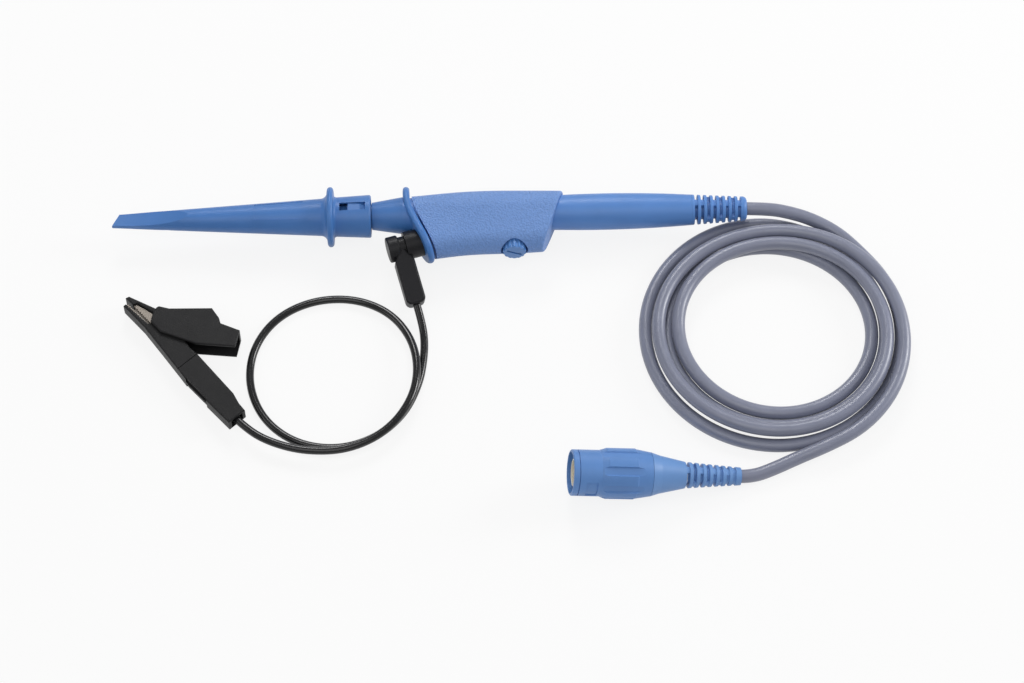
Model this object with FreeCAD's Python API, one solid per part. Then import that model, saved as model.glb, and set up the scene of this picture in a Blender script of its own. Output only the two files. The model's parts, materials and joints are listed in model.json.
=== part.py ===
import FreeCAD, Part
import math
import os

# Passive oscilloscope probe with a retractable hook, a finger guard, a grip with a compensation
# trimmer, a coiled cable that ends in a bayonet plug, and a ground lead with a crocodile clip.
# Lengths are in millimetres, angles in degrees, +Z is up and the probe lies on the plane Z = 0.
# Pieces on the probe are drawn about the X axis, with stations counted from the rear face of the
# finger guard, and are then moved so that the frame's origin lies under the middle of the probe.

V = FreeCAD.Vector

# Fits
FIT = 0.05
LOOSE_FIT = 0.15
PART_GAP = 0.3

# Hook sleeve
HOOK_TIP_X = -103.7
RING_X = -27.6
COLLAR_END_X = -13.5
CONE_TIP_RADIUS = 2.3
CONE_END_RADIUS = 6.5
RING_RADIUS = 10.5
RING_WIDTH = 2.2
RING_FRONT_FILLET = 2.4
RING_REAR_FILLET = 1.1
COLLAR_FRONT_RADIUS = 6.9
COLLAR_END_RADIUS = 7.5
COLLAR_CHAMFER = 0.4
COLLAR_BORE_RADIUS = 6.2
BLADE_LENGTH = 26.5
BLADE_THICKNESS = 1.6
BLADE_FLAT = 1.0
BLADE_SLANT = 28.0
HOOK_LABEL = (-54.0, -37.0)
HOOK_LABEL_DEPTH = 0.15
HOOK_LABEL_SWEEP = 72.0
TIP_POCKET_LENGTH = 3.0
TIP_POCKET_WIDTH = 1.0
TIP_POCKET_REACH = 1.75
SPRING_SPACE_FRONT_X = -62.0
SPRING_SPACE_RADIUS = 3.4
WINDOW_LENGTH = 9.0
WINDOW_WIDTH = 3.1
WINDOW_REAR_WALL = 1.8
HOOK_TRAVEL = 2.8
TRAVEL_SPARE = 0.2

# Hook core, its wire, contact and spring
CORE_FRONT_X = -45.0
CORE_RADIUS = 4.3
CORE_GUIDE_LENGTH = 11.0
CORE_GUIDE_RADIUS = 1.9
TAB_LENGTH = 3.9
TAB_RISE = 0.55
HOOK_WIRE_RADIUS = 0.35
HOOK_BEND_RADIUS = 0.7
HOOK_LEG_REACH = 1.3
HOOK_SETBACK = 1.6
CONTACT_RADIUS = 1.5
CONTACT_LENGTH = 8.7
CONTACT_BACK_WALL = 1.5
SPRING_WIRE_RADIUS = 0.25
SPRING_MEAN_RADIUS = 2.75
SPRING_TURNS = 8

# Nose, needle and the pieces in the nose
STUB_LENGTH = 24.9
STUB_RADIUS = 3.5
NOSE_GAP = 0.35
NOSE_FRONT_RADIUS = 4.75
NOSE_REAR_RADIUS = 6.5
NOSE_BORE_RADIUS = 2.2
SPIGOT_LENGTH = 12.0
SPIGOT_RADIUS = 5.2
NEEDLE_RADIUS = 0.6
NEEDLE_REACH = 7.0
NEEDLE_POINT = 1.5
NEEDLE_END_X = -30.0
TIP_INSULATOR_END_X = -26.1
RESISTOR_X = -25.0
RESISTOR_LENGTH = 11.0
RESISTOR_RADIUS = 1.6
LEAD_RADIUS = 0.3
SHIELD_LENGTH = 36.0
SHIELD_WALL = 0.25

# Finger guard
GUARD_THICKNESS = 2.3
GUARD_FAR = 10.4
GUARD_NEAR = 18.4
GUARD_HALF_WIDTH = 7.8
GUARD_BEND_START_Y = 6.0
GUARD_BEND_RADIUS = 22.0
GUARD_SWEEP = 25.0
GUARD_RIM_RADIUS = 1.05

# Rear housing and grip
HOUSING_RADIUS = 6.1
HOUSING_WALL = 1.1
HOUSING_BELLY_X = 76.0
HOUSING_BELLY_RADIUS = 6.3
HOUSING_END_X = 98.3
HOUSING_END_RADIUS = 5.35
GRIP_GAP = 0.8
GRIP_END_X = 51.6
GRIP_END_TILT = 18.4
GRIP_END_CURVE = 250.0
GRIP_BELLY_RADIUS = 6.0
GRIP_EDGE_RADIUS = 0.8
GRIP_POCKET_DEPTH = 13.4
GRIP_POCKET_HALF_WIDTH = 4.0
GRIP_OVERHANG = 3.0
# Sections of the grip: station, radius about the axis, depth of the belly; then those of its ends
GRIP_SECTIONS = [(10.5, 7.35, 10.8), (21.0, 7.95, 9.7), (31.0, 8.05, 9.45), (42.0, 7.85, 9.2)]
GRIP_FRONT = (6.5, 11.5)
GRIP_REAR = (7.4, 9.0)

# Trimmer and circuit
TRIMMER_X = 36.2
TRIMMER_HOLE_RADIUS = 4.75
KNOB_RADIUS = 4.1
KNOB_INNER_Y = -7.3
KNOB_FACE_Y = -16.2
KNOB_RIM = 0.2
KNOB_COLLAR_WIDTH = 5.6
KNOB_COLLAR_RISE = 0.3
KNOB_FLUTES = 14
KNOB_FLUTE_RADIUS = 0.7
KNOB_DOME = 0.2
KNOB_SHAFT_RADIUS = 1.2
KNOB_SLOT_LENGTH = 5.6
KNOB_SLOT_WIDTH = 0.8
KNOB_SLOT_DEPTH = 2.0
KNOB_SLOT_TURN = -25.0
CAPACITOR_RADIUS = 2.6
CAPACITOR_HEIGHT = 3.0
BOARD_X = 14.0
BOARD_LENGTH = 36.0
BOARD_THICKNESS = 0.8
CHIP_LENGTH = 2.0
CHIP_WIDTH = 1.25
CHIP_HEIGHT = 0.6
CHIP_PITCH = 4.0
CHIP_ROWS = 3
CHIP_ROW_PITCH = 2.6
CHIPS_IN_ROW = 4
INNER_CONDUCTOR_RADIUS = 0.4

# Cable and its strain relief
CABLE_RADIUS = 2.3
CABLE_INNER_X = 76.0
FERRULE_LENGTH = 7.0
FERRULE_RADIUS = 2.9
RELIEF_PLUG_LENGTH = 12.1
RELIEF_PLUG_RADIUS = 4.25
RELIEF_END_RADIUS = 4.3
RELIEF_LENGTH = 19.4
RELIEF_ROUNDING = 1.4
RELIEF_FIRST_SLOT = 1.1
RELIEF_SLOTS = 8
RELIEF_SLOT_PITCH = 2.15
RELIEF_SLOT_WIDTH = 1.0
RELIEF_CORE_RADIUS = 2.95
RELIEF_BRIDGE_WIDTH = 2.3
RIB_ROUNDING = 0.3
RIB_GROOVE = 0.4
RELIEF_SIDE_BRIDGED = (3, 5, 7)
CABLE_BORE_RADIUS = CABLE_RADIUS + FIT

# Coil of the cable
COIL_CENTRE = (118.2, -42.4)
COIL_START_ANGLE = 45.0
COIL_TURNS_IN = 2.339
COIL_TURNS = 4.25
COIL_INNER_RADIUS = 33.0
COIL_TURN_GAP = 1.3
COIL_DRIFT = (-0.8, -0.2)
COIL_LAYER_GAP = 0.6
COIL_REVERSAL = 0.5

# Ground plug in its socket on the guard
SOCKET_HEAD = (-7.7, -14.15)
SOCKET_YAW = 15.5
PLUG_CAP_RADIUS = 4.5
PLUG_CAP_LENGTH = 4.0
PLUG_NECK_RADIUS = 3.6
PLUG_NECK_LENGTH = 2.1
PLUG_PIN_RADIUS = 1.0
PLUG_PIN_START = 1.5
PLUG_PIN_LENGTH = 8.8
PLUG_BOOT_PLACE = 4.4
PLUG_BOOT_PITCH = 16.5
PLUG_BOOT_LENGTH = 21.4
PLUG_BOOT_WIDTH = 6.9
PLUG_BOOT_DEPTH = 6.4
PLUG_BOOT_SHOULDER = 5.6
PLUG_BOOT_GABLE = 1.2
PLUG_BOOT_GABLE_WIDTH = 2.4
PLUG_BOOT_CORNER = 2.0
PLUG_BOOT_EDGE = 1.0
BOSS_RADIUS = 4.9
SOCKET_RADIUS = 1.9
SOCKET_LENGTH = 4.5
WIRE_RADIUS = 1.375

# Bayonet plug, stations from the cable end of its boot
PLUG_ORIGIN = (102.8, -97.5, 3.05)
PLUG_HEADING = 181.7
PLUG_LENGTH = 57.8
BOOT_END_RADIUS = 3.05
BOOT_RELIEF_LENGTH = 19.1
BOOT_RELIEF_RADIUS = 4.5
BOOT_LAST_SLOT = 0.65
BOOT_SLOTS = 8
BOOT_SLOT_PITCH = 2.28
BOOT_CONE_BREAK = 27.7
BOOT_CONE_BREAK_RADIUS = 6.4
BOOT_FRONT = 30.8
BOOT_FRONT_RADIUS = 7.4
BOOT_SPIGOT_LENGTH = 6.2
BOOT_SPIGOT_RADIUS = 6.3
SHELL_SHOULDER = 36.0
SHELL_SHOULDER_RADIUS = 8.3
SHELL_GRIP_RADIUS = 8.55
SHELL_GRIP_END = 46.0
SHELL_NECK = 48.2
SHELL_RADIUS = 7.75
SHELL_WALL_STEP = 7.0
MOUTH_RADIUS = 6.9
SHELL_GROOVE = 55.6
SHELL_GROOVE_WIDTH = 0.3
SHELL_GROOVE_DEPTH = 0.45
RECESSES = 8
RECESS_START = 33.4
RECESS_HALF_WIDTH = 1.2
RECESS_DRAFT = 0.8
RECESS_CORNER = 0.9
RECESS_FLOOR = 7.9
RECESS_PHASE = 112.0
LABEL_START = 49.5
LABEL_END = 53.2
LABEL_DEPTH = 0.35
LABEL_FROM = -14.0
LABEL_SWEEP = 50.0
NUT_START = 38.5
NUT_END = 53.7
NUT_BORE_RADIUS = 5.7
NUT_FLANGE_BORE_RADIUS = 4.75
NUT_FLANGE_WIDTH = 1.5
NUT_SLOT_WIDTH = 2.2
NUT_SLOT_END = 46.0
NUT_TRACK_SWEEP = 60.0
CONTACT_BODY_START = 28.1
CONTACT_BODY_RADIUS = 4.6
CONTACT_COLLAR_RADIUS = 5.2
CONTACT_COLLAR_WIDTH = 1.6
CONTACT_SHOULDER = 42.0
CONTACT_TUBE_RADIUS = 4.05
CONTACT_TUBE_BORE = 3.4
CONTACT_TUBE_END = 55.2
CONTACT_BACK_BORE = 1.6
CONTACT_SLITS = 4
CONTACT_SLIT_WIDTH = 0.4
CONTACT_SLIT_LENGTH = 8.0
DIELECTRIC_END = 50.2
COLLAR_RING_RADIUS = 4.6
COLLAR_RING_SETBACK = 0.9
PIN_RADIUS = 0.68
PIN_START = 29.0
PIN_END = 54.7
GASKET_WIDTH = 1.4
WASHER_WIDTH = 1.0
CRIMP_START = 18.6
CRIMP_RADIUS = 3.2

# Crocodile clip, drawn flat with x toward the jaws and y toward the lever
CLIP_REAR = (-66.3, -72.4)
CLIP_HEADING = 131.36
CLIP_HALF_WIDTH = 4.0
CLIP_LEVER_WALL = 0.9
CLIP_EDGE_RADIUS = 0.5
LOWER_HALF_WIDTH = 2.75
LOWER_WALL = 0.7
CLIP_SEAM = (27.6, 27.9)
CLIP_SEAM_DEPTH = 0.25
CLIP_LEDGE = (11.8, 22.8)
CLIP_LEDGE_DEPTH = 0.7
CLIP_LEDGE_HEIGHT = 0.8
CLIP_PIVOT = (41.5, 4.6)
PIVOT_RADIUS = 1.2
JAW_BAR_HALF_WIDTH = 2.6
JAW_HALF_WIDTH = 1.8
JAW_SHEET = 0.6
JAW_HUB_RADIUS = 2.1
JAW_TEETH = 10
JAW_TOOTH_PITCH = 0.8
JAW_TOOTH_DEPTH = 0.4
CLIP_CRIMP_START = 6.0
CLIP_CRIMP_LENGTH = 8.0
CLIP_CRIMP_RADIUS = 1.9
TORSION_WIRE_RADIUS = 0.25
TORSION_MEAN_RADIUS = 1.7
TORSION_TURNS = 1.5

# Outlines of the clip's covers, as points with x toward the jaws and y toward the lever
LOWER_COVER = [(0.0, -3.5), (21.2, -3.6), (26.1, -3.0), (38.7, -1.6), (48.5, -0.6), (59.7, -0.5),
               (59.7, 0.6), (48.5, 1.2), (46.5, 4.6), (44.0, 6.2), (37.0, 6.6), (31.3, 5.8),
               (27.6, 6.0), (7.7, 5.1), (3.5, 4.0), (0.0, 3.7)]
LOWER_HOLLOW = [(-1.0, -2.3), (21.0, -2.4), (26.0, -1.8), (38.7, -0.4), (47.0, 0.5), (47.0, 8.0),
                (37.6, 8.0), (37.0, 5.4), (31.3, 4.6), (27.6, 4.8), (7.7, 3.9),
                (3.5, 2.8), (-1.0, 2.5)]
UPPER_COVER = [(50.5, 5.5), (50.9, 7.3), (50.7, 8.1), (47.6, 10.1), (37.7, 21.0), (33.1, 20.3),
               (31.1, 19.3), (24.5, 22.3), (20.6, 17.0), (30.5, 7.9), (42.4, 2.0), (48.1, 2.1)]
UPPER_HOLLOW = [(51.5, -1.0), (51.5, 5.3), (49.4, 5.9), (49.2, 7.3), (47.0, 9.0), (37.1, 19.7), (33.3, 19.1),
                (30.8, 18.1), (21.0, 22.7), (17.0, 16.0), (30.0, 5.5), (42.0, -1.0)]
JAW_BAR = [(48.4, 6.1), (50.5, 5.5), (57.3, 3.7), (57.8, 2.3), (61.7, 2.1), (61.4, 3.4),
           (50.9, 7.3), (48.6, 8.2)]
LOWER_JAW_TIP = (59.5, 1.5)
LOWER_JAW_SEAT = [(46.0, 0.55), (59.5, 0.65)]
UPPER_JAW = [(57.5, 2.6), (57.2, 3.4), (49.0, 5.5), (44.0, 6.6), (41.5, 6.7), (41.5, 2.6), (44.0, 2.5)]
UPPER_JAW_TEETH_START = (48.6, 2.5)

# Routes of the free cords, chosen by hand
LEAD_IN_RUN = 7.5
LEAD_IN_ROUTE = [(118.8, 3.95, 10.5), (126.8, 4.45, 7.6), (134.2, 2.2, 4.2)]
TAIL_RUN = 3.9
TAIL_ROUTE = [(136.3, -86.4, 7.2), (127.0, -93.5, 4.3), (115.0, -96.8, 2.31)]
GROUND_WIRE_ROUTE = [(-2.5, -40.3, 1.4), (-2.8, -48.3, 1.4), (-4.5, -58.3, 1.4), (-9.6, -69.9, 1.4),
                     (-19.2, -79.0, 1.4), (-32.5, -83.3, 1.4), (-46.8, -80.5, 1.4),
                     (-57.8, -71.1, 1.4), (-63.0, -57.3, 1.4), (-61.6, -42.9, 1.4),
                     (-53.8, -30.9, 1.4), (-41.2, -24.3, 1.4), (-27.0, -23.9, 1.5),
                     (-14.8, -29.7, 2.0), (-7.2, -40.7, 3.4), (-4.6, -53.7, 4.7),
                     (-7.0, -66.5, 4.75), (-15.4, -78.3, 4.7), (-28.6, -85.0, 4.55),
                     (-43.2, -85.1, 4.35), (-55.4, -81.1, 4.1)]
WIRE_STRAIGHT = 5.5
CLIP_WIRE_RUN = 10.0

# Places worked out from the sizes above
DATUM = V(-(HOOK_TIP_X + HOUSING_END_X + RELIEF_LENGTH) / 2,
          (GUARD_NEAR - RING_RADIUS) / 2, RING_RADIUS)
WINDOW_REAR_X = COLLAR_END_X - WINDOW_REAR_WALL
WINDOW_FRONT_X = WINDOW_REAR_X - WINDOW_LENGTH
TAB_FRONT_X = WINDOW_FRONT_X + HOOK_TRAVEL + TRAVEL_SPARE
FLANGE_FRONT_X = TAB_FRONT_X - PART_GAP
FLANGE_REAR_X = WINDOW_REAR_X - LOOSE_FIT
FLANGE_RADIUS = COLLAR_BORE_RADIUS - LOOSE_FIT
NOSE_FRONT_X = COLLAR_END_X + NOSE_GAP
STUB_FRONT_X = NOSE_FRONT_X - STUB_LENGTH
CORE_GUIDE_X = CORE_FRONT_X - CORE_GUIDE_LENGTH
CONTACT_END_X = STUB_FRONT_X - TRAVEL_SPARE
CONTACT_FRONT_X = CONTACT_END_X - CONTACT_LENGTH
NEEDLE_TIP_X = STUB_FRONT_X - NEEDLE_REACH
SHIELD_FRONT_X = TIP_INSULATOR_END_X + TRAVEL_SPARE
HOUSING_BORE_RADIUS = HOUSING_RADIUS - HOUSING_WALL
GRIP_END_CENTRE = (GRIP_END_X - GRIP_END_CURVE * math.cos(math.radians(GRIP_END_TILT)),
                   GRIP_END_CURVE * math.sin(math.radians(GRIP_END_TILT)))
RELIEF_END_X = HOUSING_END_X + RELIEF_LENGTH
PLUG_SLOPE = math.degrees(math.atan2(SHELL_GRIP_RADIUS - BOOT_END_RADIUS, SHELL_SHOULDER + FIT))
SOCKET_AXIS = V(math.cos(math.radians(SOCKET_YAW)), math.sin(math.radians(SOCKET_YAW)), 0)
SOCKET_START = PLUG_CAP_LENGTH + PLUG_NECK_LENGTH


# Basic solids

def arc_to(centre_u, centre_v, radius, start, end):
    """Outline point that is reached by an arc about a centre, from one angle to another."""
    def at(angle):
        turn = math.radians(angle)
        return (centre_u + radius * math.cos(turn), centre_v + radius * math.sin(turn))
    return at(end) + at((start + end) / 2)


def face_of(points, place):
    """Flat face inside an outline whose points are placed in space by a function."""
    edges = []
    previous = points[-1]
    for point in points:
        start = place(*previous[:2])
        end = place(*point[:2])
        if len(point) == 4:
            edges.append(Part.Arc(start, place(*point[2:]), end).toShape())
        elif start.distanceToPoint(end) > 1e-6:
            edges.append(Part.LineSegment(start, end).toShape())
        previous = point
    return Part.Face(Part.Wire(edges))


def turned(points):
    """Solid turned about the X axis from an outline of (x, radius) points."""
    face = face_of(points, lambda x, r: V(x, r, 0))
    return face.revolve(V(0, 0, 0), V(1, 0, 0), 360)


def ring(start, end, outer, inner):
    """Plain ring about the X axis."""
    return turned([(start, inner), (start, outer), (end, outer), (end, inner)])


def prism_z(points, bottom, top):
    """Outline in the XY plane, raised from one height to another."""
    return face_of(points, lambda x, y: V(x, y, bottom)).extrude(V(0, 0, top - bottom))


def prism_y(points, start, end):
    """Outline of (x, z) points, carried along Y."""
    return face_of(points, lambda x, z: V(x, start, z)).extrude(V(0, end - start, 0))


def prism_x(points, start, end):
    """Outline of (y, z) points, carried along X."""
    return face_of(points, lambda y, z: V(start, y, z)).extrude(V(end - start, 0, 0))


def rod(start, end, radius):
    """Round rod between two points."""
    return Part.makeCylinder(radius, (end - start).Length, start, end - start)


def block(x_range, y_range, z_range):
    """Box between pairs of coordinates."""
    corner = V(x_range[0], y_range[0], z_range[0])
    return Part.makeBox(x_range[1] - x_range[0], y_range[1] - y_range[0],
                        z_range[1] - z_range[0], corner)


def joined(shapes):
    """One solid from overlapping solids."""
    return shapes[0].multiFuse(shapes[1:]).removeSplitter()


def edges_where(shape, wanted):
    """Edges of a shape whose middle passes a test."""
    return [edge for edge in shape.Edges if wanted(edge.CenterOfMass)]


def panel_cutter(start, start_radius, end, end_radius, from_angle, sweep):
    """Cutter for a panel sunk into a cone about X, given its floor's radius at both ends."""
    above = max(start_radius, end_radius) + 1
    face = face_of([(start, start_radius), (start, above), (end, above), (end, end_radius)],
                   lambda x, r: V(x, r, 0))
    panel = face.revolve(V(0, 0, 0), V(1, 0, 0), sweep)
    panel.rotate(V(0, 0, 0), V(1, 0, 0), from_angle)
    return panel


# Cords and wound wire

def cord_path(points, name):
    """Straight runs joined by tangent arcs, as large as the runs allow; prints the radii."""
    edges = []
    radii = []
    start = points[0]
    for before, corner, after in zip(points, points[1:], points[2:]):
        into = (corner - before).normalize()
        out = (after - corner).normalize()
        half_turn = into.getAngle(out) / 2
        setback = 0.45 * min((corner - before).Length, (after - corner).Length)
        radius = setback / math.tan(half_turn)
        inward = (out - into).normalize()
        middle = corner + inward * (radius / math.cos(half_turn) - radius)
        arc_start = corner - into * setback
        arc_end = corner + out * setback
        edges.append(Part.LineSegment(start, arc_start).toShape())
        edges.append(Part.Arc(arc_start, middle, arc_end).toShape())
        radii.append(radius)
        start = arc_end
    edges.append(Part.LineSegment(start, points[-1]).toShape())
    print(name, "radii", [round(radius, 1) for radius in radii])
    return Part.Wire(edges)


def swept(path, start, direction, radius, name):
    """Round tube along a path; prints its volume against section times length."""
    section = Part.Wire(Part.makeCircle(radius, start, direction))
    tube = path.makePipeShell([section], True, False)
    share = tube.Volume / (math.pi * radius ** 2 * path.Length)
    print(name, "length", round(path.Length, 1), "volume share", round(share, 4))
    return tube


def cord(points, radius, name):
    """Free cord along hand-chosen points."""
    return swept(cord_path(points, name), points[0], points[1] - points[0], radius, name)


def biarc(start, start_way, end, end_way):
    """Two arcs that join two points and leave and meet them in given directions."""
    across = end - start
    ways = start_way + end_way
    spread = 2 * (1 - start_way.dot(end_way))
    reach = across.dot(ways)
    arm = (-reach + math.sqrt(reach ** 2 + spread * across.dot(across))) / spread
    joint = (start + end + (start_way - end_way) * arm) * 0.5
    return [bent(start, start_way, joint), bent(end, end_way * -1, joint)]


def bent(start, way, end):
    """Arc from a point in a given direction to another point."""
    chord = end - start
    along = V(chord).normalize()
    aside = way - along * way.dot(along)
    angle = way.getAngle(along)
    middle = start + chord * 0.5 + aside.normalize() * (chord.Length / 2 * math.tan(angle / 2))
    return (start, middle, end)


def wound_path(points, ways, lead, tail):
    """Straight ends and biarcs through points with known directions."""
    edges = []
    if lead > 0:
        edges.append(Part.LineSegment(points[0] - ways[0] * lead, points[0]).toShape())
    for start, start_way, end, end_way in zip(points, ways, points[1:], ways[1:]):
        first, second = biarc(start, start_way, end, end_way)
        edges.append(Part.Arc(*first).toShape())
        edges.append(Part.Arc(second[2], second[1], second[0]).toShape())
    if tail > 0:
        edges.append(Part.LineSegment(points[-1], points[-1] + ways[-1] * tail).toShape())
    return Part.Wire(edges)


def sampled(function, count, span):
    """Points and unit directions of a curve at even steps of its turn count."""
    step = 1e-5
    points = []
    ways = []
    for index in range(count + 1):
        turn = span * index / count
        points.append(function(turn))
        ways.append((function(turn + step) - function(turn - step)).normalize())
    return points, ways


def least_gap(function, span, diameter, name):
    """Least distance between turns that lie apart along the wire, less its diameter."""
    per_turn = 72
    count = round(span * per_turn)
    points = [function(span * index / count) for index in range(count + 1)]
    least = min(points[i].distanceToPoint(points[j])
                for i in range(count + 1)
                for j in range(i + per_turn // 2, count + 1))
    print(name, "least gap to itself", round(least - diameter, 3))


# Hook at the tip

def hook_sleeve():
    """Long cone with a flattened nose, a finger ring and a windowed collar."""
    ring_front = RING_X - RING_WIDTH / 2
    ring_rear = RING_X + RING_WIDTH / 2
    cone_end = ring_front - RING_FRONT_FILLET
    rim = RING_WIDTH / 2
    collar_start = ring_rear + RING_REAR_FILLET
    outer = turned([
        (HOOK_TIP_X, 0),
        (HOOK_TIP_X, CONE_TIP_RADIUS),
        (cone_end, CONE_END_RADIUS),
        arc_to(cone_end, CONE_END_RADIUS + RING_FRONT_FILLET, RING_FRONT_FILLET, -90, 0),
        (ring_front, RING_RADIUS - rim),
        arc_to(RING_X, RING_RADIUS - rim, rim, 180, 0),
        (ring_rear, COLLAR_FRONT_RADIUS + RING_REAR_FILLET),
        arc_to(collar_start, COLLAR_FRONT_RADIUS + RING_REAR_FILLET, RING_REAR_FILLET, 180, 270),
        (COLLAR_END_X - COLLAR_CHAMFER, COLLAR_END_RADIUS),
        (COLLAR_END_X, COLLAR_END_RADIUS - COLLAR_CHAMFER),
        (COLLAR_END_X, 0),
    ])
    sleeve = outer.cut(hook_sleeve_inside()).cut(blade_facets(cone_end)).cut(blade_end())
    return sleeve.cut(hook_label(taper(HOOK_TIP_X, CONE_TIP_RADIUS, cone_end, CONE_END_RADIUS)))


def hook_label(radius_at):
    """Cutter for the shallow bare panel on top of the cone, given the cone's radius."""
    start, end = HOOK_LABEL
    return panel_cutter(start, radius_at(start) - HOOK_LABEL_DEPTH,
                        end, radius_at(end) - HOOK_LABEL_DEPTH,
                        90 - HOOK_LABEL_SWEEP / 2, HOOK_LABEL_SWEEP)


def hook_sleeve_inside():
    """Bores of the hook sleeve, its window and the pocket for the hook's leg."""
    shoulder_x = FLANGE_FRONT_X - HOOK_TRAVEL - 4 * TRAVEL_SPARE
    core_space_x = CORE_FRONT_X - HOOK_TRAVEL - TRAVEL_SPARE
    channel = HOOK_WIRE_RADIUS + LOOSE_FIT
    beyond = 1.0
    bore = turned([
        (COLLAR_END_X + beyond, 0),
        (COLLAR_END_X + beyond, COLLAR_BORE_RADIUS),
        (shoulder_x, COLLAR_BORE_RADIUS),
        (shoulder_x, CORE_RADIUS + LOOSE_FIT),
        (core_space_x, CORE_RADIUS + LOOSE_FIT),
        (core_space_x, SPRING_SPACE_RADIUS),
        (SPRING_SPACE_FRONT_X, SPRING_SPACE_RADIUS),
        (SPRING_SPACE_FRONT_X, channel),
        (HOOK_TIP_X - beyond, channel),
        (HOOK_TIP_X - beyond, 0),
    ])
    half = WINDOW_WIDTH / 2
    window = block((WINDOW_FRONT_X, WINDOW_REAR_X), (-half, half), (0, RING_RADIUS))
    pocket = block((HOOK_TIP_X - beyond, HOOK_TIP_X + TIP_POCKET_LENGTH),
                   (-channel, TIP_POCKET_REACH),
                   (-TIP_POCKET_WIDTH / 2, TIP_POCKET_WIDTH / 2))
    return bore.fuse(window).fuse(pocket)


def blade_facets(cone_end):
    """Cutters for the two faces that thin the nose, level at the tip and then curved."""
    cone_slope = (CONE_END_RADIUS - CONE_TIP_RADIUS) / (cone_end - HOOK_TIP_X)
    level = BLADE_THICKNESS / 2
    flat_end = HOOK_TIP_X + BLADE_FLAT
    run = BLADE_LENGTH - BLADE_FLAT
    rise = CONE_TIP_RADIUS + cone_slope * BLADE_LENGTH - level
    radius = (run ** 2 + rise ** 2) / (2 * rise)
    past_cone = 3.0
    sweep = math.degrees(math.asin(run / radius)) + past_cone
    top = 2 * RING_RADIUS
    curve = arc_to(flat_end, level + radius, radius, -90, sweep - 90)
    outline = [(HOOK_TIP_X - 1, level), (flat_end, level), curve, (curve[0], top), (HOOK_TIP_X - 1, top)]
    upper = prism_y(outline, -RING_RADIUS, RING_RADIUS)
    return upper.fuse(upper.mirror(V(0, 0, 0), V(0, 0, 1)))


def blade_end():
    """Cutter for the slanted end of the nose."""
    lean = math.tan(math.radians(BLADE_SLANT))
    reach = 2 * CONE_TIP_RADIUS
    near_x = HOOK_TIP_X + (CONE_TIP_RADIUS - reach) * lean
    far_x = HOOK_TIP_X + (CONE_TIP_RADIUS + reach) * lean
    outline = [(near_x, -reach), (far_x, reach), (near_x - reach, reach), (near_x - reach, -reach)]
    return prism_z(outline, -reach, reach)


def hook_core():
    """Inner body that slips over the nose and carries the hook, with its latch tab."""
    rear_x = NOSE_FRONT_X - 2 * FIT
    outer = turned([
        (CORE_GUIDE_X, 0),
        (CORE_GUIDE_X, CORE_GUIDE_RADIUS),
        (CORE_FRONT_X, CORE_GUIDE_RADIUS),
        (CORE_FRONT_X, CORE_RADIUS),
        (FLANGE_FRONT_X, CORE_RADIUS),
        (FLANGE_FRONT_X, FLANGE_RADIUS),
        (FLANGE_REAR_X, FLANGE_RADIUS),
        (FLANGE_REAR_X, CORE_RADIUS),
        (rear_x, CORE_RADIUS),
        (rear_x, 0),
    ])
    tab_side = WINDOW_WIDTH / 2 - LOOSE_FIT
    tab_base = FLANGE_RADIUS - TAB_RISE
    tab = prism_y([
        (TAB_FRONT_X, tab_base),
        (TAB_FRONT_X, FLANGE_RADIUS + TAB_RISE),
        (TAB_FRONT_X + TAB_LENGTH, FLANGE_RADIUS + TAB_RISE),
        (FLANGE_REAR_X, FLANGE_RADIUS),
        (FLANGE_REAR_X, tab_base),
    ], -tab_side, tab_side)
    hollow = turned([
        (CORE_GUIDE_X - 1, 0),
        (CORE_GUIDE_X - 1, HOOK_WIRE_RADIUS + FIT),
        (CONTACT_FRONT_X, HOOK_WIRE_RADIUS + FIT),
        (CONTACT_FRONT_X, CONTACT_RADIUS + FIT),
        (CONTACT_END_X, CONTACT_RADIUS + FIT),
        (CONTACT_END_X, STUB_RADIUS + FIT),
        (rear_x + 1, STUB_RADIUS + FIT),
        (rear_x + 1, 0),
    ])
    return outer.fuse(tab).cut(hollow)


def hook_wire():
    """Straight wire with its end bent into a short hook."""
    leg_x = HOOK_TIP_X + HOOK_SETBACK + HOOK_WIRE_RADIUS
    bend_start = leg_x + HOOK_BEND_RADIUS
    bend_share = HOOK_BEND_RADIUS * (1 - math.sqrt(0.5))
    start = V(CONTACT_FRONT_X, 0, 0)
    straight = Part.LineSegment(start, V(bend_start, 0, 0)).toShape()
    bend = Part.Arc(V(bend_start, 0, 0), V(leg_x + bend_share, bend_share, 0),
                    V(leg_x, HOOK_BEND_RADIUS, 0)).toShape()
    leg = Part.LineSegment(V(leg_x, HOOK_BEND_RADIUS, 0), V(leg_x, HOOK_LEG_REACH, 0)).toShape()
    path = Part.Wire([straight, bend, leg])
    return swept(path, start, V(-1, 0, 0), HOOK_WIRE_RADIUS, "hook_wire")


def hook_contact():
    """Socket that takes the needle, closed at its front."""
    bore_start = CONTACT_FRONT_X + CONTACT_BACK_WALL
    return turned([
        (CONTACT_FRONT_X, 0),
        (CONTACT_FRONT_X, CONTACT_RADIUS),
        (CONTACT_END_X, CONTACT_RADIUS),
        (CONTACT_END_X, NEEDLE_RADIUS + FIT),
        (bore_start, NEEDLE_RADIUS + FIT),
        (bore_start, 0),
    ])


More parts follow.
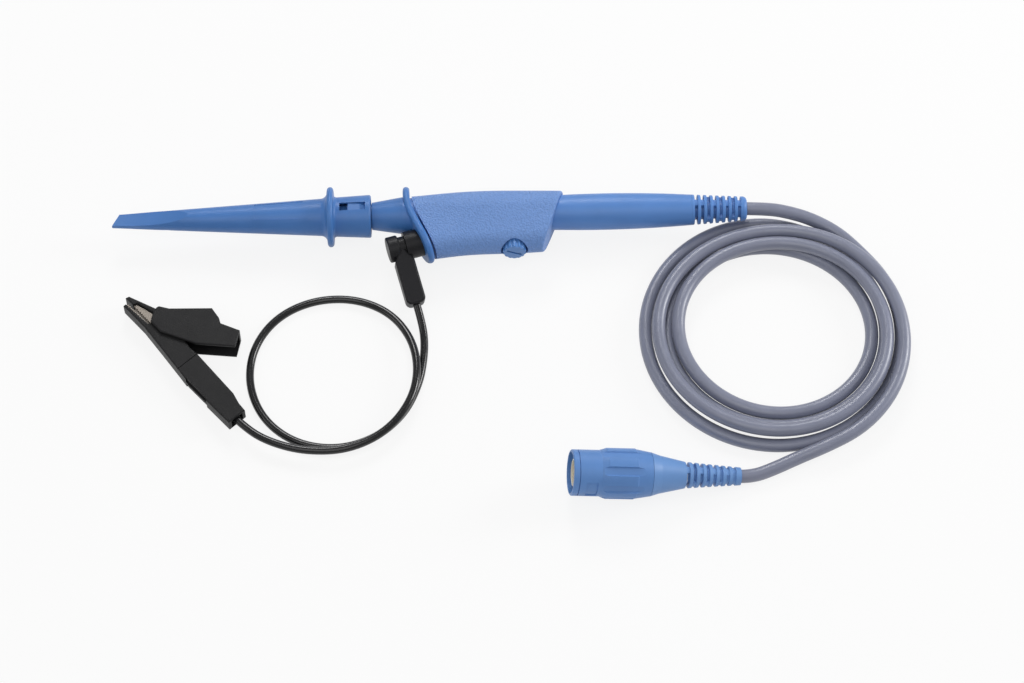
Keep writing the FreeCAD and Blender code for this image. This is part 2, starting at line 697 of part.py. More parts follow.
def hook_spring():
    """Compression spring between the sleeve and the core."""
    clear = SPRING_WIRE_RADIUS + FIT
    length = CORE_FRONT_X - SPRING_SPACE_FRONT_X - 2 * clear

    def at(turn):
        angle = 2 * math.pi * turn
        return V(SPRING_SPACE_FRONT_X + clear + length * turn / SPRING_TURNS,
                 SPRING_MEAN_RADIUS * math.cos(angle), SPRING_MEAN_RADIUS * math.sin(angle))
    points, ways = sampled(at, 4 * SPRING_TURNS, SPRING_TURNS)
    least_gap(at, SPRING_TURNS, 2 * SPRING_WIRE_RADIUS, "hook_spring")
    path = wound_path(points, ways, 0, 0)
    return swept(path, points[0], ways[0], SPRING_WIRE_RADIUS, "hook_spring")


# Nose and guard

def behind_guard(offset):
    """Space behind the guard's bent rear face, moved along the face's normal."""
    radius = GUARD_BEND_RADIUS - offset
    sweep = math.radians(GUARD_SWEEP)
    reach = 30.0
    far = 120.0
    end_x = GUARD_BEND_RADIUS - radius * math.cos(sweep)
    end_y = GUARD_BEND_START_Y - radius * math.sin(sweep)
    bend = arc_to(GUARD_BEND_RADIUS, GUARD_BEND_START_Y, radius, 180, 180 + GUARD_SWEEP)
    outline = [
        (offset, reach),
        (offset, GUARD_BEND_START_Y),
        bend,
        (end_x + reach * math.sin(sweep), end_y - reach * math.cos(sweep)),
        (far, end_y - reach * math.cos(sweep)),
        (far, reach),
    ]
    return prism_z(outline, -reach, reach)


def guard_plate():
    """Bent oval plate with a rounded rim."""
    centre_far = GUARD_FAR - GUARD_HALF_WIDTH
    centre_near = GUARD_HALF_WIDTH - GUARD_NEAR
    oval = prism_x([
        (centre_near, GUARD_HALF_WIDTH),
        (centre_far, GUARD_HALF_WIDTH),
        arc_to(centre_far, 0, GUARD_HALF_WIDTH, 90, -90),
        (centre_near, -GUARD_HALF_WIDTH),
        arc_to(centre_near, 0, GUARD_HALF_WIDTH, -90, -270),
    ], -2 * GUARD_NEAR, 2 * GUARD_NEAR)
    plate = behind_guard(-GUARD_THICKNESS).cut(behind_guard(0)).common(oval)
    rim = edges_where(plate, lambda middle: on_oval(middle, centre_near, centre_far))
    return plate.makeFillet(GUARD_RIM_RADIUS, rim)


def on_oval(point, centre_near, centre_far):
    """Whether a point lies between the guard's faces' outlines rather than across its faces."""
    along = min(max(point.y, centre_near), centre_far)
    reach = math.hypot(point.y - along, point.z)
    thick = GUARD_THICKNESS / 3
    front = behind_guard(-GUARD_THICKNESS + thick)
    rear = behind_guard(-thick)
    inside_wall = front.isInside(point, 1e-4, True) and not rear.isInside(point, 1e-4, True)
    return reach > 0.6 * GUARD_HALF_WIDTH and not inside_wall


def nose_outline(extra):
    """Cone between the collar and the guard, with some extra radius."""
    guard_front = -GUARD_THICKNESS
    inside = 6.0
    cone = turned([
        (NOSE_FRONT_X - extra, 0),
        (NOSE_FRONT_X - extra, NOSE_FRONT_RADIUS + extra),
        (guard_front, NOSE_REAR_RADIUS + extra),
        (inside, NOSE_REAR_RADIUS + extra),
        (inside, 0),
    ])
    return cone.cut(behind_guard(0))


def nose_housing():
    """Stub for the hook, cone, guard and the spigot that enters the rear housing, in one piece."""
    stub = rod(V(STUB_FRONT_X, 0, 0), V(NOSE_FRONT_X + 1, 0, 0), STUB_RADIUS)
    spigot = rod(V(-GUARD_THICKNESS, 0, 0), V(SPIGOT_LENGTH, 0, 0), SPIGOT_RADIUS)
    bore = rod(V(STUB_FRONT_X - 1, 0, 0), V(SPIGOT_LENGTH + 1, 0, 0), NOSE_BORE_RADIUS)
    return joined([stub, nose_outline(0), guard_plate(), spigot]).cut(bore)


def probe_needle():
    """Pointed contact that the hook's socket slips over."""
    return turned([
        (NEEDLE_TIP_X, 0),
        (NEEDLE_TIP_X + NEEDLE_POINT, NEEDLE_RADIUS),
        (NEEDLE_END_X, NEEDLE_RADIUS),
        (NEEDLE_END_X, 0),
    ])


def tip_insulator():
    """Bush that holds the needle in the nose."""
    return ring(STUB_FRONT_X, TIP_INSULATOR_END_X, NOSE_BORE_RADIUS - FIT, NEEDLE_RADIUS + FIT)


def input_resistor():
    """Resistor between the needle and the board, with its leads."""
    body = rod(V(RESISTOR_X, 0, 0), V(RESISTOR_X + RESISTOR_LENGTH, 0, 0), RESISTOR_RADIUS)
    leads = rod(V(NEEDLE_END_X, 0, 0), V(BOARD_X, 0, 0), LEAD_RADIUS)
    return body.fuse(leads)


def shield_tube():
    """Metal screen around the input resistor."""
    outer = NOSE_BORE_RADIUS - FIT
    return ring(SHIELD_FRONT_X, SHIELD_FRONT_X + SHIELD_LENGTH, outer, outer - SHIELD_WALL)


# Rear housing, grip and trimmer

def rear_housing():
    """Long tube behind the guard, slightly barrelled behind the grip."""
    wide_bore_end = CABLE_INNER_X + FERRULE_LENGTH + 2
    outer = turned([
        (0, 0),
        (0, HOUSING_RADIUS),
        (GRIP_END_X, HOUSING_RADIUS),
        (HOUSING_END_X, HOUSING_END_RADIUS, HOUSING_BELLY_X, HOUSING_BELLY_RADIUS),
        (HOUSING_END_X, 0),
    ])
    inside = turned([
        (-1, 0),
        (-1, SPIGOT_RADIUS + FIT),
        (SPIGOT_LENGTH + PART_GAP, SPIGOT_RADIUS + FIT),
        (SPIGOT_LENGTH + PART_GAP, HOUSING_BORE_RADIUS),
        (wide_bore_end, HOUSING_BORE_RADIUS),
        (wide_bore_end, RELIEF_PLUG_RADIUS + FIT),
        (HOUSING_END_X + 1, RELIEF_PLUG_RADIUS + FIT),
        (HOUSING_END_X + 1, 0),
    ])
    shaft_hole = rod(V(TRIMMER_X, 0, 0), V(TRIMMER_X, -GUARD_NEAR, 0),
                     KNOB_SHAFT_RADIUS + 2 * FIT)
    return outer.common(behind_guard(2 * FIT)).cut(inside).cut(shaft_hole)


def grip_section(x, far_radius, belly):
    """Stadium-like outline of the grip at one station, about the axis and about its belly."""
    lean = (far_radius - GRIP_BELLY_RADIUS) / belly
    normal_y = -lean
    normal_z = math.sqrt(1 - lean ** 2)
    top_far = V(x, far_radius * normal_y, far_radius * normal_z)
    top_near = V(x, -belly + GRIP_BELLY_RADIUS * normal_y, GRIP_BELLY_RADIUS * normal_z)
    low_far = V(x, top_far.y, -top_far.z)
    low_near = V(x, top_near.y, -top_near.z)
    edges = [
        Part.Arc(top_far, V(x, far_radius, 0), low_far).toShape(),
        Part.LineSegment(low_far, low_near).toShape(),
        Part.Arc(low_near, V(x, -belly - GRIP_BELLY_RADIUS, 0), top_near).toShape(),
        Part.LineSegment(top_near, top_far).toShape(),
    ]
    return Part.Wire(edges)


def grip_blank():
    """Lofted body of the grip, longer than the finished piece at both ends."""
    first = (-GRIP_OVERHANG,) + GRIP_FRONT
    last = (GRIP_END_X + 2 * GRIP_OVERHANG,) + GRIP_REAR
    sections = [first] + GRIP_SECTIONS + [last]
    return Part.makeLoft([grip_section(*section) for section in sections], True, False)


def grip_end_x(y):
    """Station of the grip's rear end at one depth: an arc that leans forward toward the belly."""
    return GRIP_END_CENTRE[0] + math.sqrt(GRIP_END_CURVE ** 2 - (y - GRIP_END_CENTRE[1]) ** 2)


def grip_sleeve():
    """Grip that slips over the rear housing, with a deep belly that holds the trimmer."""
    reach = 2 * GUARD_NEAR
    far = GRIP_END_X + reach
    behind = prism_z([
        (grip_end_x(reach), reach),
        (grip_end_x(-reach), -reach, grip_end_x(0), 0),
        (far, -reach),
        (far, reach),
    ], -reach, reach)
    body = grip_blank().common(behind_guard(GRIP_GAP)).cut(behind)
    body = body.makeFillet(GRIP_EDGE_RADIUS, [edge for edge in body.Edges if on_grip_end(edge)])
    bore = rod(V(-reach, 0, 0), V(far, 0, 0), HOUSING_RADIUS + FIT)
    well = rod(V(TRIMMER_X, 0, 0), V(TRIMMER_X, -reach, 0), TRIMMER_HOLE_RADIUS)
    return body.cut(bore).cut(well).cut(grip_pockets())


def on_grip_end(edge):
    """Whether an edge runs around the rear end of the grip."""
    ends = [edge.valueAt(edge.FirstParameter), edge.valueAt(edge.LastParameter)]
    ends.append(edge.valueAt((edge.FirstParameter + edge.LastParameter) / 2))
    return all(abs(point.x - grip_end_x(point.y)) < 1e-3 for point in ends)


def grip_pockets():
    """Hollows moulded into the belly on both sides of the trimmer's well."""
    wall = GRIP_BELLY_RADIUS - GRIP_POCKET_HALF_WIDTH
    well_side = TRIMMER_HOLE_RADIUS + wall
    front_start = GRIP_GAP + GUARD_NEAR * math.tan(math.radians(GUARD_SWEEP)) + 2 * wall
    rear_end = grip_end_x(-GRIP_POCKET_DEPTH) - wall
    side = (-GRIP_POCKET_HALF_WIDTH, GRIP_POCKET_HALF_WIDTH)
    depth = (-GRIP_POCKET_DEPTH, 0)
    front = block((front_start, TRIMMER_X - well_side), depth, side)
    rear = block((TRIMMER_X + well_side, rear_end), depth, side)
    return front.fuse(rear)


def trimmer_knob():
    """Fluted knob on a shaft, with a screwdriver slot, pointing down the grip's belly."""
    shaft_start = BOARD_THICKNESS / 2 + CAPACITOR_HEIGHT + 2 * FIT
    inner = -KNOB_INNER_Y
    face = -KNOB_FACE_Y
    rim_start = face - KNOB_DOME - KNOB_RIM
    collar_end = inner + KNOB_COLLAR_WIDTH
    dome_radius = KNOB_RADIUS - KNOB_RIM
    knob = turned([
        (shaft_start, 0),
        (shaft_start, KNOB_SHAFT_RADIUS),
        (inner, KNOB_SHAFT_RADIUS),
        (inner, KNOB_RADIUS + KNOB_COLLAR_RISE),
        (collar_end, KNOB_RADIUS + KNOB_COLLAR_RISE),
        (collar_end, KNOB_RADIUS),
        (rim_start, KNOB_RADIUS),
        (rim_start + KNOB_RIM, dome_radius),
        (face, 0, face - KNOB_DOME / 4, dome_radius / 2),
    ])
    flute = rod(V(collar_end, KNOB_RADIUS + KNOB_FLUTE_RADIUS / 3, 0),
                V(face + 1, KNOB_RADIUS + KNOB_FLUTE_RADIUS / 3, 0), KNOB_FLUTE_RADIUS)
    for index in range(KNOB_FLUTES):
        knob = knob.cut(flute.rotated(V(0, 0, 0), V(1, 0, 0), 360 * index / KNOB_FLUTES))
    slot = block((face - KNOB_SLOT_DEPTH, face + 1), (-KNOB_SLOT_LENGTH / 2, KNOB_SLOT_LENGTH / 2),
                 (-KNOB_SLOT_WIDTH / 2, KNOB_SLOT_WIDTH / 2))
    slot.rotate(V(0, 0, 0), V(1, 0, 0), KNOB_SLOT_TURN)
    knob = knob.cut(slot)
    knob.rotate(V(0, 0, 0), V(0, 0, 1), -90)
    knob.translate(V(TRIMMER_X, 0, 0))
    return knob


def trimmer_capacitor():
    """Round trimmer on the board, turned by the knob's shaft."""
    base = -BOARD_THICKNESS / 2
    return rod(V(TRIMMER_X, base, 0), V(TRIMMER_X, base - CAPACITOR_HEIGHT, 0), CAPACITOR_RADIUS)


def compensation_board():
    """Small circuit board across the housing's bore."""
    half = BOARD_THICKNESS / 2
    width = math.sqrt((HOUSING_BORE_RADIUS - FIT) ** 2 - half ** 2)
    return block((BOARD_X, BOARD_X + BOARD_LENGTH), (-half, half), (-width, width))


def board_components():
    """Chips in rows on the far side of the board."""
    base = BOARD_THICKNESS / 2
    chips = []
    for row in range(CHIP_ROWS):
        middle = (row - (CHIP_ROWS - 1) / 2) * CHIP_ROW_PITCH
        for index in range(CHIPS_IN_ROW):
            start = BOARD_X + CHIP_PITCH * (index + 1) + row
            chips.append(block((start, start + CHIP_LENGTH), (base, base + CHIP_HEIGHT),
                               (middle - CHIP_WIDTH / 2, middle + CHIP_WIDTH / 2)))
    return Part.makeCompound(chips)


def inner_conductor():
    """Bare inner conductor from the board to the cable."""
    start = V(BOARD_X + BOARD_LENGTH, 0, 0)
    return rod(start, V(CABLE_INNER_X, 0, 0), INNER_CONDUCTOR_RADIUS)


# Cable end and strain relief

def cable_inner_end():
    """End of the cable inside the strain relief and the housing."""
    return rod(V(CABLE_INNER_X, 0, 0), V(RELIEF_END_X, 0, 0), CABLE_RADIUS)


def cable_crimp_ferrule():
    """Ferrule crimped around the cable's screen."""
    start = CABLE_INNER_X + 1
    return ring(start, start + FERRULE_LENGTH, FERRULE_RADIUS, CABLE_BORE_RADIUS)


def taper(start, start_radius, end, end_radius):
    """Radius at any station of a cone that is given at two stations."""
    slope = (end_radius - start_radius) / (end - start)
    return lambda x: start_radius + slope * (x - start)


def ribs(starts, radius_at):
    """Outline of ribs with rounded edges, and the shallow groove at each slot between them."""
    points = []
    for start in starts:
        end = start + RELIEF_SLOT_WIDTH
        before = radius_at(start) - RIB_ROUNDING
        after = radius_at(end) - RIB_ROUNDING
        points += [
            (start - RIB_ROUNDING, before + RIB_ROUNDING),
            arc_to(start - RIB_ROUNDING, before, RIB_ROUNDING, 90, 0),
            (start, radius_at(start) - RIB_GROOVE),
            (end, radius_at(end) - RIB_GROOVE),
            (end, after),
            arc_to(end + RIB_ROUNDING, after, RIB_ROUNDING, 180, 90),
        ]
    return points


def slotted(body, starts, side_bridged, outer, core):
    """Body with ring-shaped slots, each with bridges on two opposite sides."""
    half = RELIEF_BRIDGE_WIDTH / 2
    for number, start in enumerate(starts, 1):
        end = start + RELIEF_SLOT_WIDTH
        gap = ring(start, end, outer, core)
        if number in side_bridged:
            bridge = block((start, end), (-outer, outer), (-half, half))
        else:
            bridge = block((start, end), (-half, half), (-outer, outer))
        body = body.cut(gap.cut(bridge))
    return body


def cable_strain_relief():
    """Slotted relief plugged into the rear of the housing."""
    start = HOUSING_END_X - RELIEF_PLUG_LENGTH
    round_start = RELIEF_END_X - RELIEF_ROUNDING
    end_radius = RELIEF_END_RADIUS - RELIEF_ROUNDING
    radius_at = taper(HOUSING_END_X, HOUSING_END_RADIUS, round_start, RELIEF_END_RADIUS)
    first = HOUSING_END_X + RELIEF_FIRST_SLOT
    starts = [first + RELIEF_SLOT_PITCH * index for index in range(RELIEF_SLOTS)]
    body = turned([
        (start, CABLE_BORE_RADIUS),
        (start, RELIEF_PLUG_RADIUS),
        (HOUSING_END_X + FIT, RELIEF_PLUG_RADIUS),
        (HOUSING_END_X + FIT, HOUSING_END_RADIUS),
    ] + ribs(starts, radius_at) + [
        (round_start, RELIEF_END_RADIUS),
        arc_to(round_start, end_radius, RELIEF_ROUNDING, 90, 0),
        (RELIEF_END_X, CABLE_BORE_RADIUS),
    ])
    return slotted(body, starts, RELIEF_SIDE_BRIDGED, HOUSING_END_RADIUS + 1, RELIEF_CORE_RADIUS)


# Coil and free stretches of the cable

def coil_point(turn):
    """Centre of the cable after so many turns from the coil's start."""
    pitch = 2 * CABLE_RADIUS + COIL_TURN_GAP
    rise = 2 * CABLE_RADIUS + COIL_LAYER_GAP
    from_reversal = turn - COIL_TURNS_IN
    half = COIL_REVERSAL / 2
    if abs(from_reversal) < half:
        turns_out = from_reversal ** 2 / COIL_REVERSAL
        share = (from_reversal + half) / COIL_REVERSAL
        height = CABLE_RADIUS + rise * share ** 2 * (3 - 2 * share)
    else:
        turns_out = abs(from_reversal) - half / 2
        height = CABLE_RADIUS + (rise if from_reversal > 0 else 0)
    radius = COIL_INNER_RADIUS + pitch * turns_out
    angle = math.radians(COIL_START_ANGLE - 360 * turn)
    return V(COIL_CENTRE[0] + COIL_DRIFT[0] * turns_out + radius * math.cos(angle),
             COIL_CENTRE[1] + COIL_DRIFT[1] * turns_out + radius * math.sin(angle), height)


def coil_stations():
    """Points and directions of the coil at each quarter turn."""
    return sampled(coil_point, round(4 * COIL_TURNS), COIL_TURNS)


def cable_coil():
    """Piled coil of the cable, in along the surface and out again on top."""
    points, ways = coil_stations()
    least_gap(coil_point, COIL_TURNS, 2 * CABLE_RADIUS, "cable_coil")
    straight = 2 * CABLE_RADIUS
    path = wound_path(points, ways, straight, straight)
    return swept(path, points[0] - ways[0] * straight, ways[0], CABLE_RADIUS, "cable_coil")


def lead_in_points():
    """Route from the strain relief to the coil."""
    points, ways = coil_stations()
    straight = 2 * CABLE_RADIUS
    end = points[0] - ways[0] * straight
    start = DATUM + V(RELIEF_END_X, 0, 0)
    return [start] + [V(*point) for point in LEAD_IN_ROUTE] + [end - ways[0] * LEAD_IN_RUN, end]


def tail_points():
    """Route from the coil to the bayonet plug."""
    points, ways = coil_stations()
    straight = 2 * CABLE_RADIUS
    start = points[-1] + ways[-1] * straight
    end = plug_point(0)
    return ([start, start + ways[-1] * TAIL_RUN] + [V(*point) for point in TAIL_ROUTE]
            + [plug_point(-straight), end])


# Ground plug and its socket

def socket_point(distance):
    """Point on the axis of the ground socket, from the plug's far end."""
    return V(SOCKET_HEAD[0], SOCKET_HEAD[1], 0) + SOCKET_AXIS * distance


def boot_way():
    """Direction of the ground plug's boot, square to the socket's axis and dipping."""
    pitch = math.radians(PLUG_BOOT_PITCH)
    flat = V(SOCKET_AXIS.y, -SOCKET_AXIS.x, 0)
    return flat * math.cos(pitch) + V(0, 0, -math.sin(pitch))


def socket_depth():
    """Distance along the socket's axis at which it meets the guard's front face."""
    sweep = math.radians(GUARD_SWEEP)
    radius = GUARD_BEND_RADIUS + GUARD_THICKNESS
    face = V(GUARD_BEND_RADIUS - radius * math.cos(sweep),
             GUARD_BEND_START_Y - radius * math.sin(sweep), 0)
    normal = V(math.cos(sweep), math.sin(sweep), 0)
    return (face - socket_point(0)).dot(normal) / SOCKET_AXIS.dot(normal)


def ground_socket_boss():
    """Round boss around the ground socket, shaped to the nose and the guard behind it."""
    start = SOCKET_START + 2 * FIT
    boss = rod(socket_point(start), socket_point(socket_depth() + 4), BOSS_RADIUS)
    hole = rod(socket_point(start - 1), socket_point(start + SOCKET_LENGTH + FIT),
               SOCKET_RADIUS + FIT)
    boss = boss.cut(nose_outline(FIT)).cut(behind_guard(-GUARD_THICKNESS - FIT)).cut(hole)
    return max(boss.Solids, key=lambda solid: solid.Volume)


def ground_socket():
    """Metal sleeve in the boss that takes the ground plug's pin."""
    start = SOCKET_START + 4 * FIT
    end = SOCKET_START + SOCKET_LENGTH
    sleeve = rod(socket_point(start), socket_point(end), SOCKET_RADIUS)
    return sleeve.cut(rod(socket_point(start - 1), socket_point(end + 1), PLUG_PIN_RADIUS + FIT))


def plug_boot():
    """Boot that holds the wire, drawn along X and then laid along its direction."""
    half = PLUG_BOOT_WIDTH / 2
    gable = PLUG_BOOT_GABLE_WIDTH / 2
    corner = PLUG_BOOT_CORNER
    end = PLUG_BOOT_LENGTH
    outline = [
        (PLUG_BOOT_GABLE, -gable),
        (PLUG_BOOT_SHOULDER, -half),
        (end - corner, -half),
        arc_to(end - corner, corner - half, corner, -90, 0),
        (end, half - corner),
        arc_to(end - corner, half - corner, corner, 0, 90),
        (PLUG_BOOT_SHOULDER, half),
        (PLUG_BOOT_GABLE, gable),
    ]
    depth = PLUG_BOOT_DEPTH / 2
    boot = prism_z(outline, -depth, depth)
    long_edges = edges_where(boot, lambda middle: abs(abs(middle.z) - depth) < 1e-3
                             and PLUG_BOOT_GABLE < middle.x)
    boot = boot.makeFillet(PLUG_BOOT_EDGE, long_edges)
    way = boot_way()
    turn = FreeCAD.Rotation(way, SOCKET_AXIS, way.cross(SOCKET_AXIS), "XYZ")
    boot.Placement = FreeCAD.Placement(socket_point(PLUG_BOOT_PLACE), turn)
    return boot


def ground_plug():
    """Right-angle plug: round head with a cap, and the boot of the wire."""
    cap = rod(socket_point(0), socket_point(PLUG_CAP_LENGTH), PLUG_CAP_RADIUS)
    cap = cap.makeFillet(PLUG_CAP_LENGTH / 8, cap.Edges)
    neck = rod(socket_point(PLUG_CAP_LENGTH / 2), socket_point(SOCKET_START), PLUG_NECK_RADIUS)
    clearance = rod(socket_point(SOCKET_START), socket_point(SOCKET_START + 2 * BOSS_RADIUS),
                    BOSS_RADIUS + PART_GAP)
    boot = plug_boot().cut(clearance)
    pin_hole = rod(socket_point(PLUG_PIN_START), socket_point(2 * SOCKET_START), PLUG_PIN_RADIUS)
    return joined([cap, neck, boot]).cut(pin_hole)


def ground_plug_pin():
    """Metal pin of the ground plug."""
    end = PLUG_PIN_START + PLUG_PIN_LENGTH
    return rod(socket_point(PLUG_PIN_START), socket_point(end), PLUG_PIN_RADIUS)


def ground_wire_points():
    """Route of the ground wire from the plug's boot to the crimp in the clip."""
    start = DATUM + socket_point(PLUG_BOOT_PLACE) + boot_way() * PLUG_BOOT_LENGTH
    end = clip_point(CLIP_CRIMP_START)
    into_clip = clip_point(CLIP_CRIMP_START - CLIP_WIRE_RUN)
    return ([start, start + boot_way() * WIRE_STRAIGHT]
            + [V(*point) for point in GROUND_WIRE_ROUTE] + [into_clip, end])


# Bayonet plug

def plug_placement():
    """Place of the bayonet plug, resting on its grip and on the end of its boot."""
    turn = FreeCAD.Rotation(V(0, 0, 1), PLUG_HEADING) * FreeCAD.Rotation(V(0, 1, 0), -PLUG_SLOPE)
    return FreeCAD.Placement(V(*PLUG_ORIGIN), turn)


def plug_point(station):
    """Point on the bayonet plug's axis."""
    return plug_placement().multVec(V(station, 0, 0))


def connector_boot():
    """Slotted boot with a cone, and the spigot on which the bayonet shell turns."""
    spigot_end = BOOT_FRONT + BOOT_SPIGOT_LENGTH
    last = BOOT_RELIEF_LENGTH - BOOT_LAST_SLOT - RELIEF_SLOT_WIDTH / 2
    starts = [last - BOOT_SLOT_PITCH * index for index in reversed(range(BOOT_SLOTS))]
    radius_at = taper(0, BOOT_END_RADIUS - FIT, BOOT_RELIEF_LENGTH, BOOT_RELIEF_RADIUS)
    body = turned([
        (0, CABLE_BORE_RADIUS),
        (0, radius_at(0)),
    ] + ribs(starts, radius_at) + [
        (BOOT_RELIEF_LENGTH, BOOT_RELIEF_RADIUS),
        (BOOT_CONE_BREAK, BOOT_CONE_BREAK_RADIUS),
        (BOOT_FRONT, BOOT_FRONT_RADIUS),
        (BOOT_FRONT, BOOT_SPIGOT_RADIUS),
        (spigot_end, BOOT_SPIGOT_RADIUS),
        (spigot_end, CONTACT_BODY_RADIUS + FIT),
        (CONTACT_BODY_START - FIT, CONTACT_BODY_RADIUS + FIT),
        (CONTACT_BODY_START - FIT, CRIMP_RADIUS + FIT),
        (CRIMP_START - FIT, CRIMP_RADIUS + FIT),
        (CRIMP_START - FIT, CABLE_BORE_RADIUS),
    ])
    side_bridged = range(1, BOOT_SLOTS, 2)
    core = CABLE_BORE_RADIUS + PART_GAP
    return slotted(body, starts, side_bridged, BOOT_RELIEF_RADIUS + 1, core)


def bayonet_shell():
    """Turning shell of the plug, with finger recesses, a groove and an open mouth."""
    start = BOOT_FRONT + 2 * FIT
    nut_space = NUT_START - FIT
    shell = turned([
        (start, BOOT_SPIGOT_RADIUS + FIT),
        (start, BOOT_FRONT_RADIUS),
        (SHELL_SHOULDER, SHELL_SHOULDER_RADIUS),
        (SHELL_SHOULDER + PART_GAP, SHELL_GRIP_RADIUS),
        (SHELL_GRIP_END, SHELL_GRIP_RADIUS),
        (SHELL_NECK, SHELL_RADIUS),
        (PLUG_LENGTH - PART_GAP, SHELL_RADIUS),
        (PLUG_LENGTH, SHELL_RADIUS - PART_GAP),
        (PLUG_LENGTH, MOUTH_RADIUS),
        (NUT_END + FIT, MOUTH_RADIUS),
        (NUT_END + FIT, SHELL_WALL_STEP),
        (nut_space, SHELL_WALL_STEP),
        (nut_space, BOOT_SPIGOT_RADIUS + FIT),
    ])
    for index in range(RECESSES):
        turn = RECESS_PHASE + 360 * index / RECESSES
        shell = shell.cut(finger_recess().rotated(V(0, 0, 0), V(1, 0, 0), turn))
    groove = ring(SHELL_GROOVE, SHELL_GROOVE + SHELL_GROOVE_WIDTH, SHELL_RADIUS + 1,
                  SHELL_RADIUS - SHELL_GROOVE_DEPTH)
    return shell.cut(groove).cut(label_recess())


def finger_recess():
    """Cutter for one finger recess with sloping walls, along Y, open toward the mouth."""
    top = SHELL_GRIP_RADIUS + 1
    side = RECESS_HALF_WIDTH
    wide = side + RECESS_DRAFT * (top - RECESS_FLOOR)
    corner_end = RECESS_START + RECESS_CORNER
    plan = [
        (RECESS_START, RECESS_CORNER - wide), (RECESS_START, wide - RECESS_CORNER),
        (corner_end, wide), (SHELL_NECK, wide), (SHELL_NECK, -wide), (corner_end, -wide),
    ]
    section = [(RECESS_FLOOR, -side), (RECESS_FLOOR, side), (top, wide), (top, -wide)]
    return prism_x(section, RECESS_START, SHELL_NECK).common(prism_y(plan, RECESS_FLOOR, top))


def label_recess():
    """Cutter for the shallow bare panel on the side of the shell."""
    floor = SHELL_RADIUS - LABEL_DEPTH
    return panel_cutter(LABEL_START, floor, LABEL_END, floor, LABEL_FROM, LABEL_SWEEP)


def bayonet_nut():
    """Metal ring in the shell with two entry slots and their locking tracks."""
    outer = SHELL_WALL_STEP - FIT
    nut = turned([
        (NUT_START, NUT_FLANGE_BORE_RADIUS),
        (NUT_START, outer),
        (NUT_END, outer),
        (NUT_END, NUT_BORE_RADIUS),
        (NUT_START + NUT_FLANGE_WIDTH, NUT_BORE_RADIUS),
        (NUT_START + NUT_FLANGE_WIDTH, NUT_FLANGE_BORE_RADIUS),
    ])
    half = NUT_SLOT_WIDTH / 2
    track_face = face_of([
        (NUT_SLOT_END, NUT_BORE_RADIUS - 1), (NUT_SLOT_END, outer + 1),
        (NUT_SLOT_END + NUT_SLOT_WIDTH, outer + 1),
        (NUT_SLOT_END + NUT_SLOT_WIDTH, NUT_BORE_RADIUS - 1),
    ], lambda x, r: V(x, r, 0))
    for side in (0, 180):
        entry = block((NUT_SLOT_END, NUT_END + 1), (NUT_BORE_RADIUS - 1, outer + 1), (-half, half))
        track = track_face.revolve(V(0, 0, 0), V(1, 0, 0), NUT_TRACK_SWEEP)
        nut = nut.cut(entry.rotated(V(0, 0, 0), V(1, 0, 0), side))
        nut = nut.cut(track.rotated(V(0, 0, 0), V(1, 0, 0), side))
    return nut


def contact_sleeve():
    """Outer contact of the plug, with its body and four slits at the mouth."""
    collar_start = NUT_START + NUT_FLANGE_WIDTH + PART_GAP
    sleeve = turned([
        (CONTACT_BODY_START, CONTACT_BACK_BORE),
        (CONTACT_BODY_START, CONTACT_BODY_RADIUS),
        (collar_start, CONTACT_BODY_RADIUS),
        (collar_start, CONTACT_COLLAR_RADIUS),
        (collar_start + CONTACT_COLLAR_WIDTH, CONTACT_COLLAR_RADIUS),
        (collar_start + CONTACT_COLLAR_WIDTH, CONTACT_TUBE_RADIUS),
        (CONTACT_TUBE_END, CONTACT_TUBE_RADIUS),
        (CONTACT_TUBE_END, CONTACT_TUBE_BORE),
        (CONTACT_SHOULDER, CONTACT_TUBE_BORE),
        (CONTACT_SHOULDER, CONTACT_BACK_BORE),
    ])
    half = CONTACT_SLIT_WIDTH / 2
    slit = block((CONTACT_TUBE_END - CONTACT_SLIT_LENGTH, CONTACT_TUBE_END + 1),
                 (0, CONTACT_COLLAR_RADIUS), (-half, half))
    for index in range(CONTACT_SLITS):
        sleeve = sleeve.cut(slit.rotated(V(0, 0, 0), V(1, 0, 0), 360 * index / CONTACT_SLITS))
    return sleeve


def contact_dielectric():
    """White insulator between the centre pin and the contact sleeve."""
    return ring(CONTACT_SHOULDER + FIT, DIELECTRIC_END, CONTACT_TUBE_BORE - FIT, PIN_RADIUS + FIT)


def insulating_collar():
    """Cream collar around the contact sleeve, just inside the mouth."""
    start = NUT_START + NUT_FLANGE_WIDTH + PART_GAP + CONTACT_COLLAR_WIDTH + FIT
    return ring(start, PLUG_LENGTH - COLLAR_RING_SETBACK, COLLAR_RING_RADIUS,
                CONTACT_TUBE_RADIUS + FIT)


def centre_pin():
    """Centre contact with a rounded tip."""
    tip = PIN_END - PIN_RADIUS
    return turned([(PIN_START, 0), (PIN_START, PIN_RADIUS), (tip, PIN_RADIUS),
                   arc_to(tip, 0, PIN_RADIUS, 90, 0)])


def plug_gasket():
    """Rubber ring around the insulating collar, at the bottom of the nut."""
    start = NUT_START + NUT_FLANGE_WIDTH + PART_GAP + CONTACT_COLLAR_WIDTH + FIT
    return ring(start, start + GASKET_WIDTH, NUT_BORE_RADIUS - 2 * FIT, COLLAR_RING_RADIUS + FIT)


def wave_washer():
    """Spring washer that pushes the nut forward."""
    start = BOOT_FRONT + BOOT_SPIGOT_LENGTH + 2 * FIT
    return ring(start, start + WASHER_WIDTH, BOOT_SPIGOT_RADIUS - FIT, CONTACT_BODY_RADIUS + FIT)


def connector_crimp():
    """Ferrule that clamps the cable's screen in the boot."""
    return ring(CRIMP_START, CONTACT_BODY_START - 2 * FIT, CRIMP_RADIUS, CABLE_BORE_RADIUS)


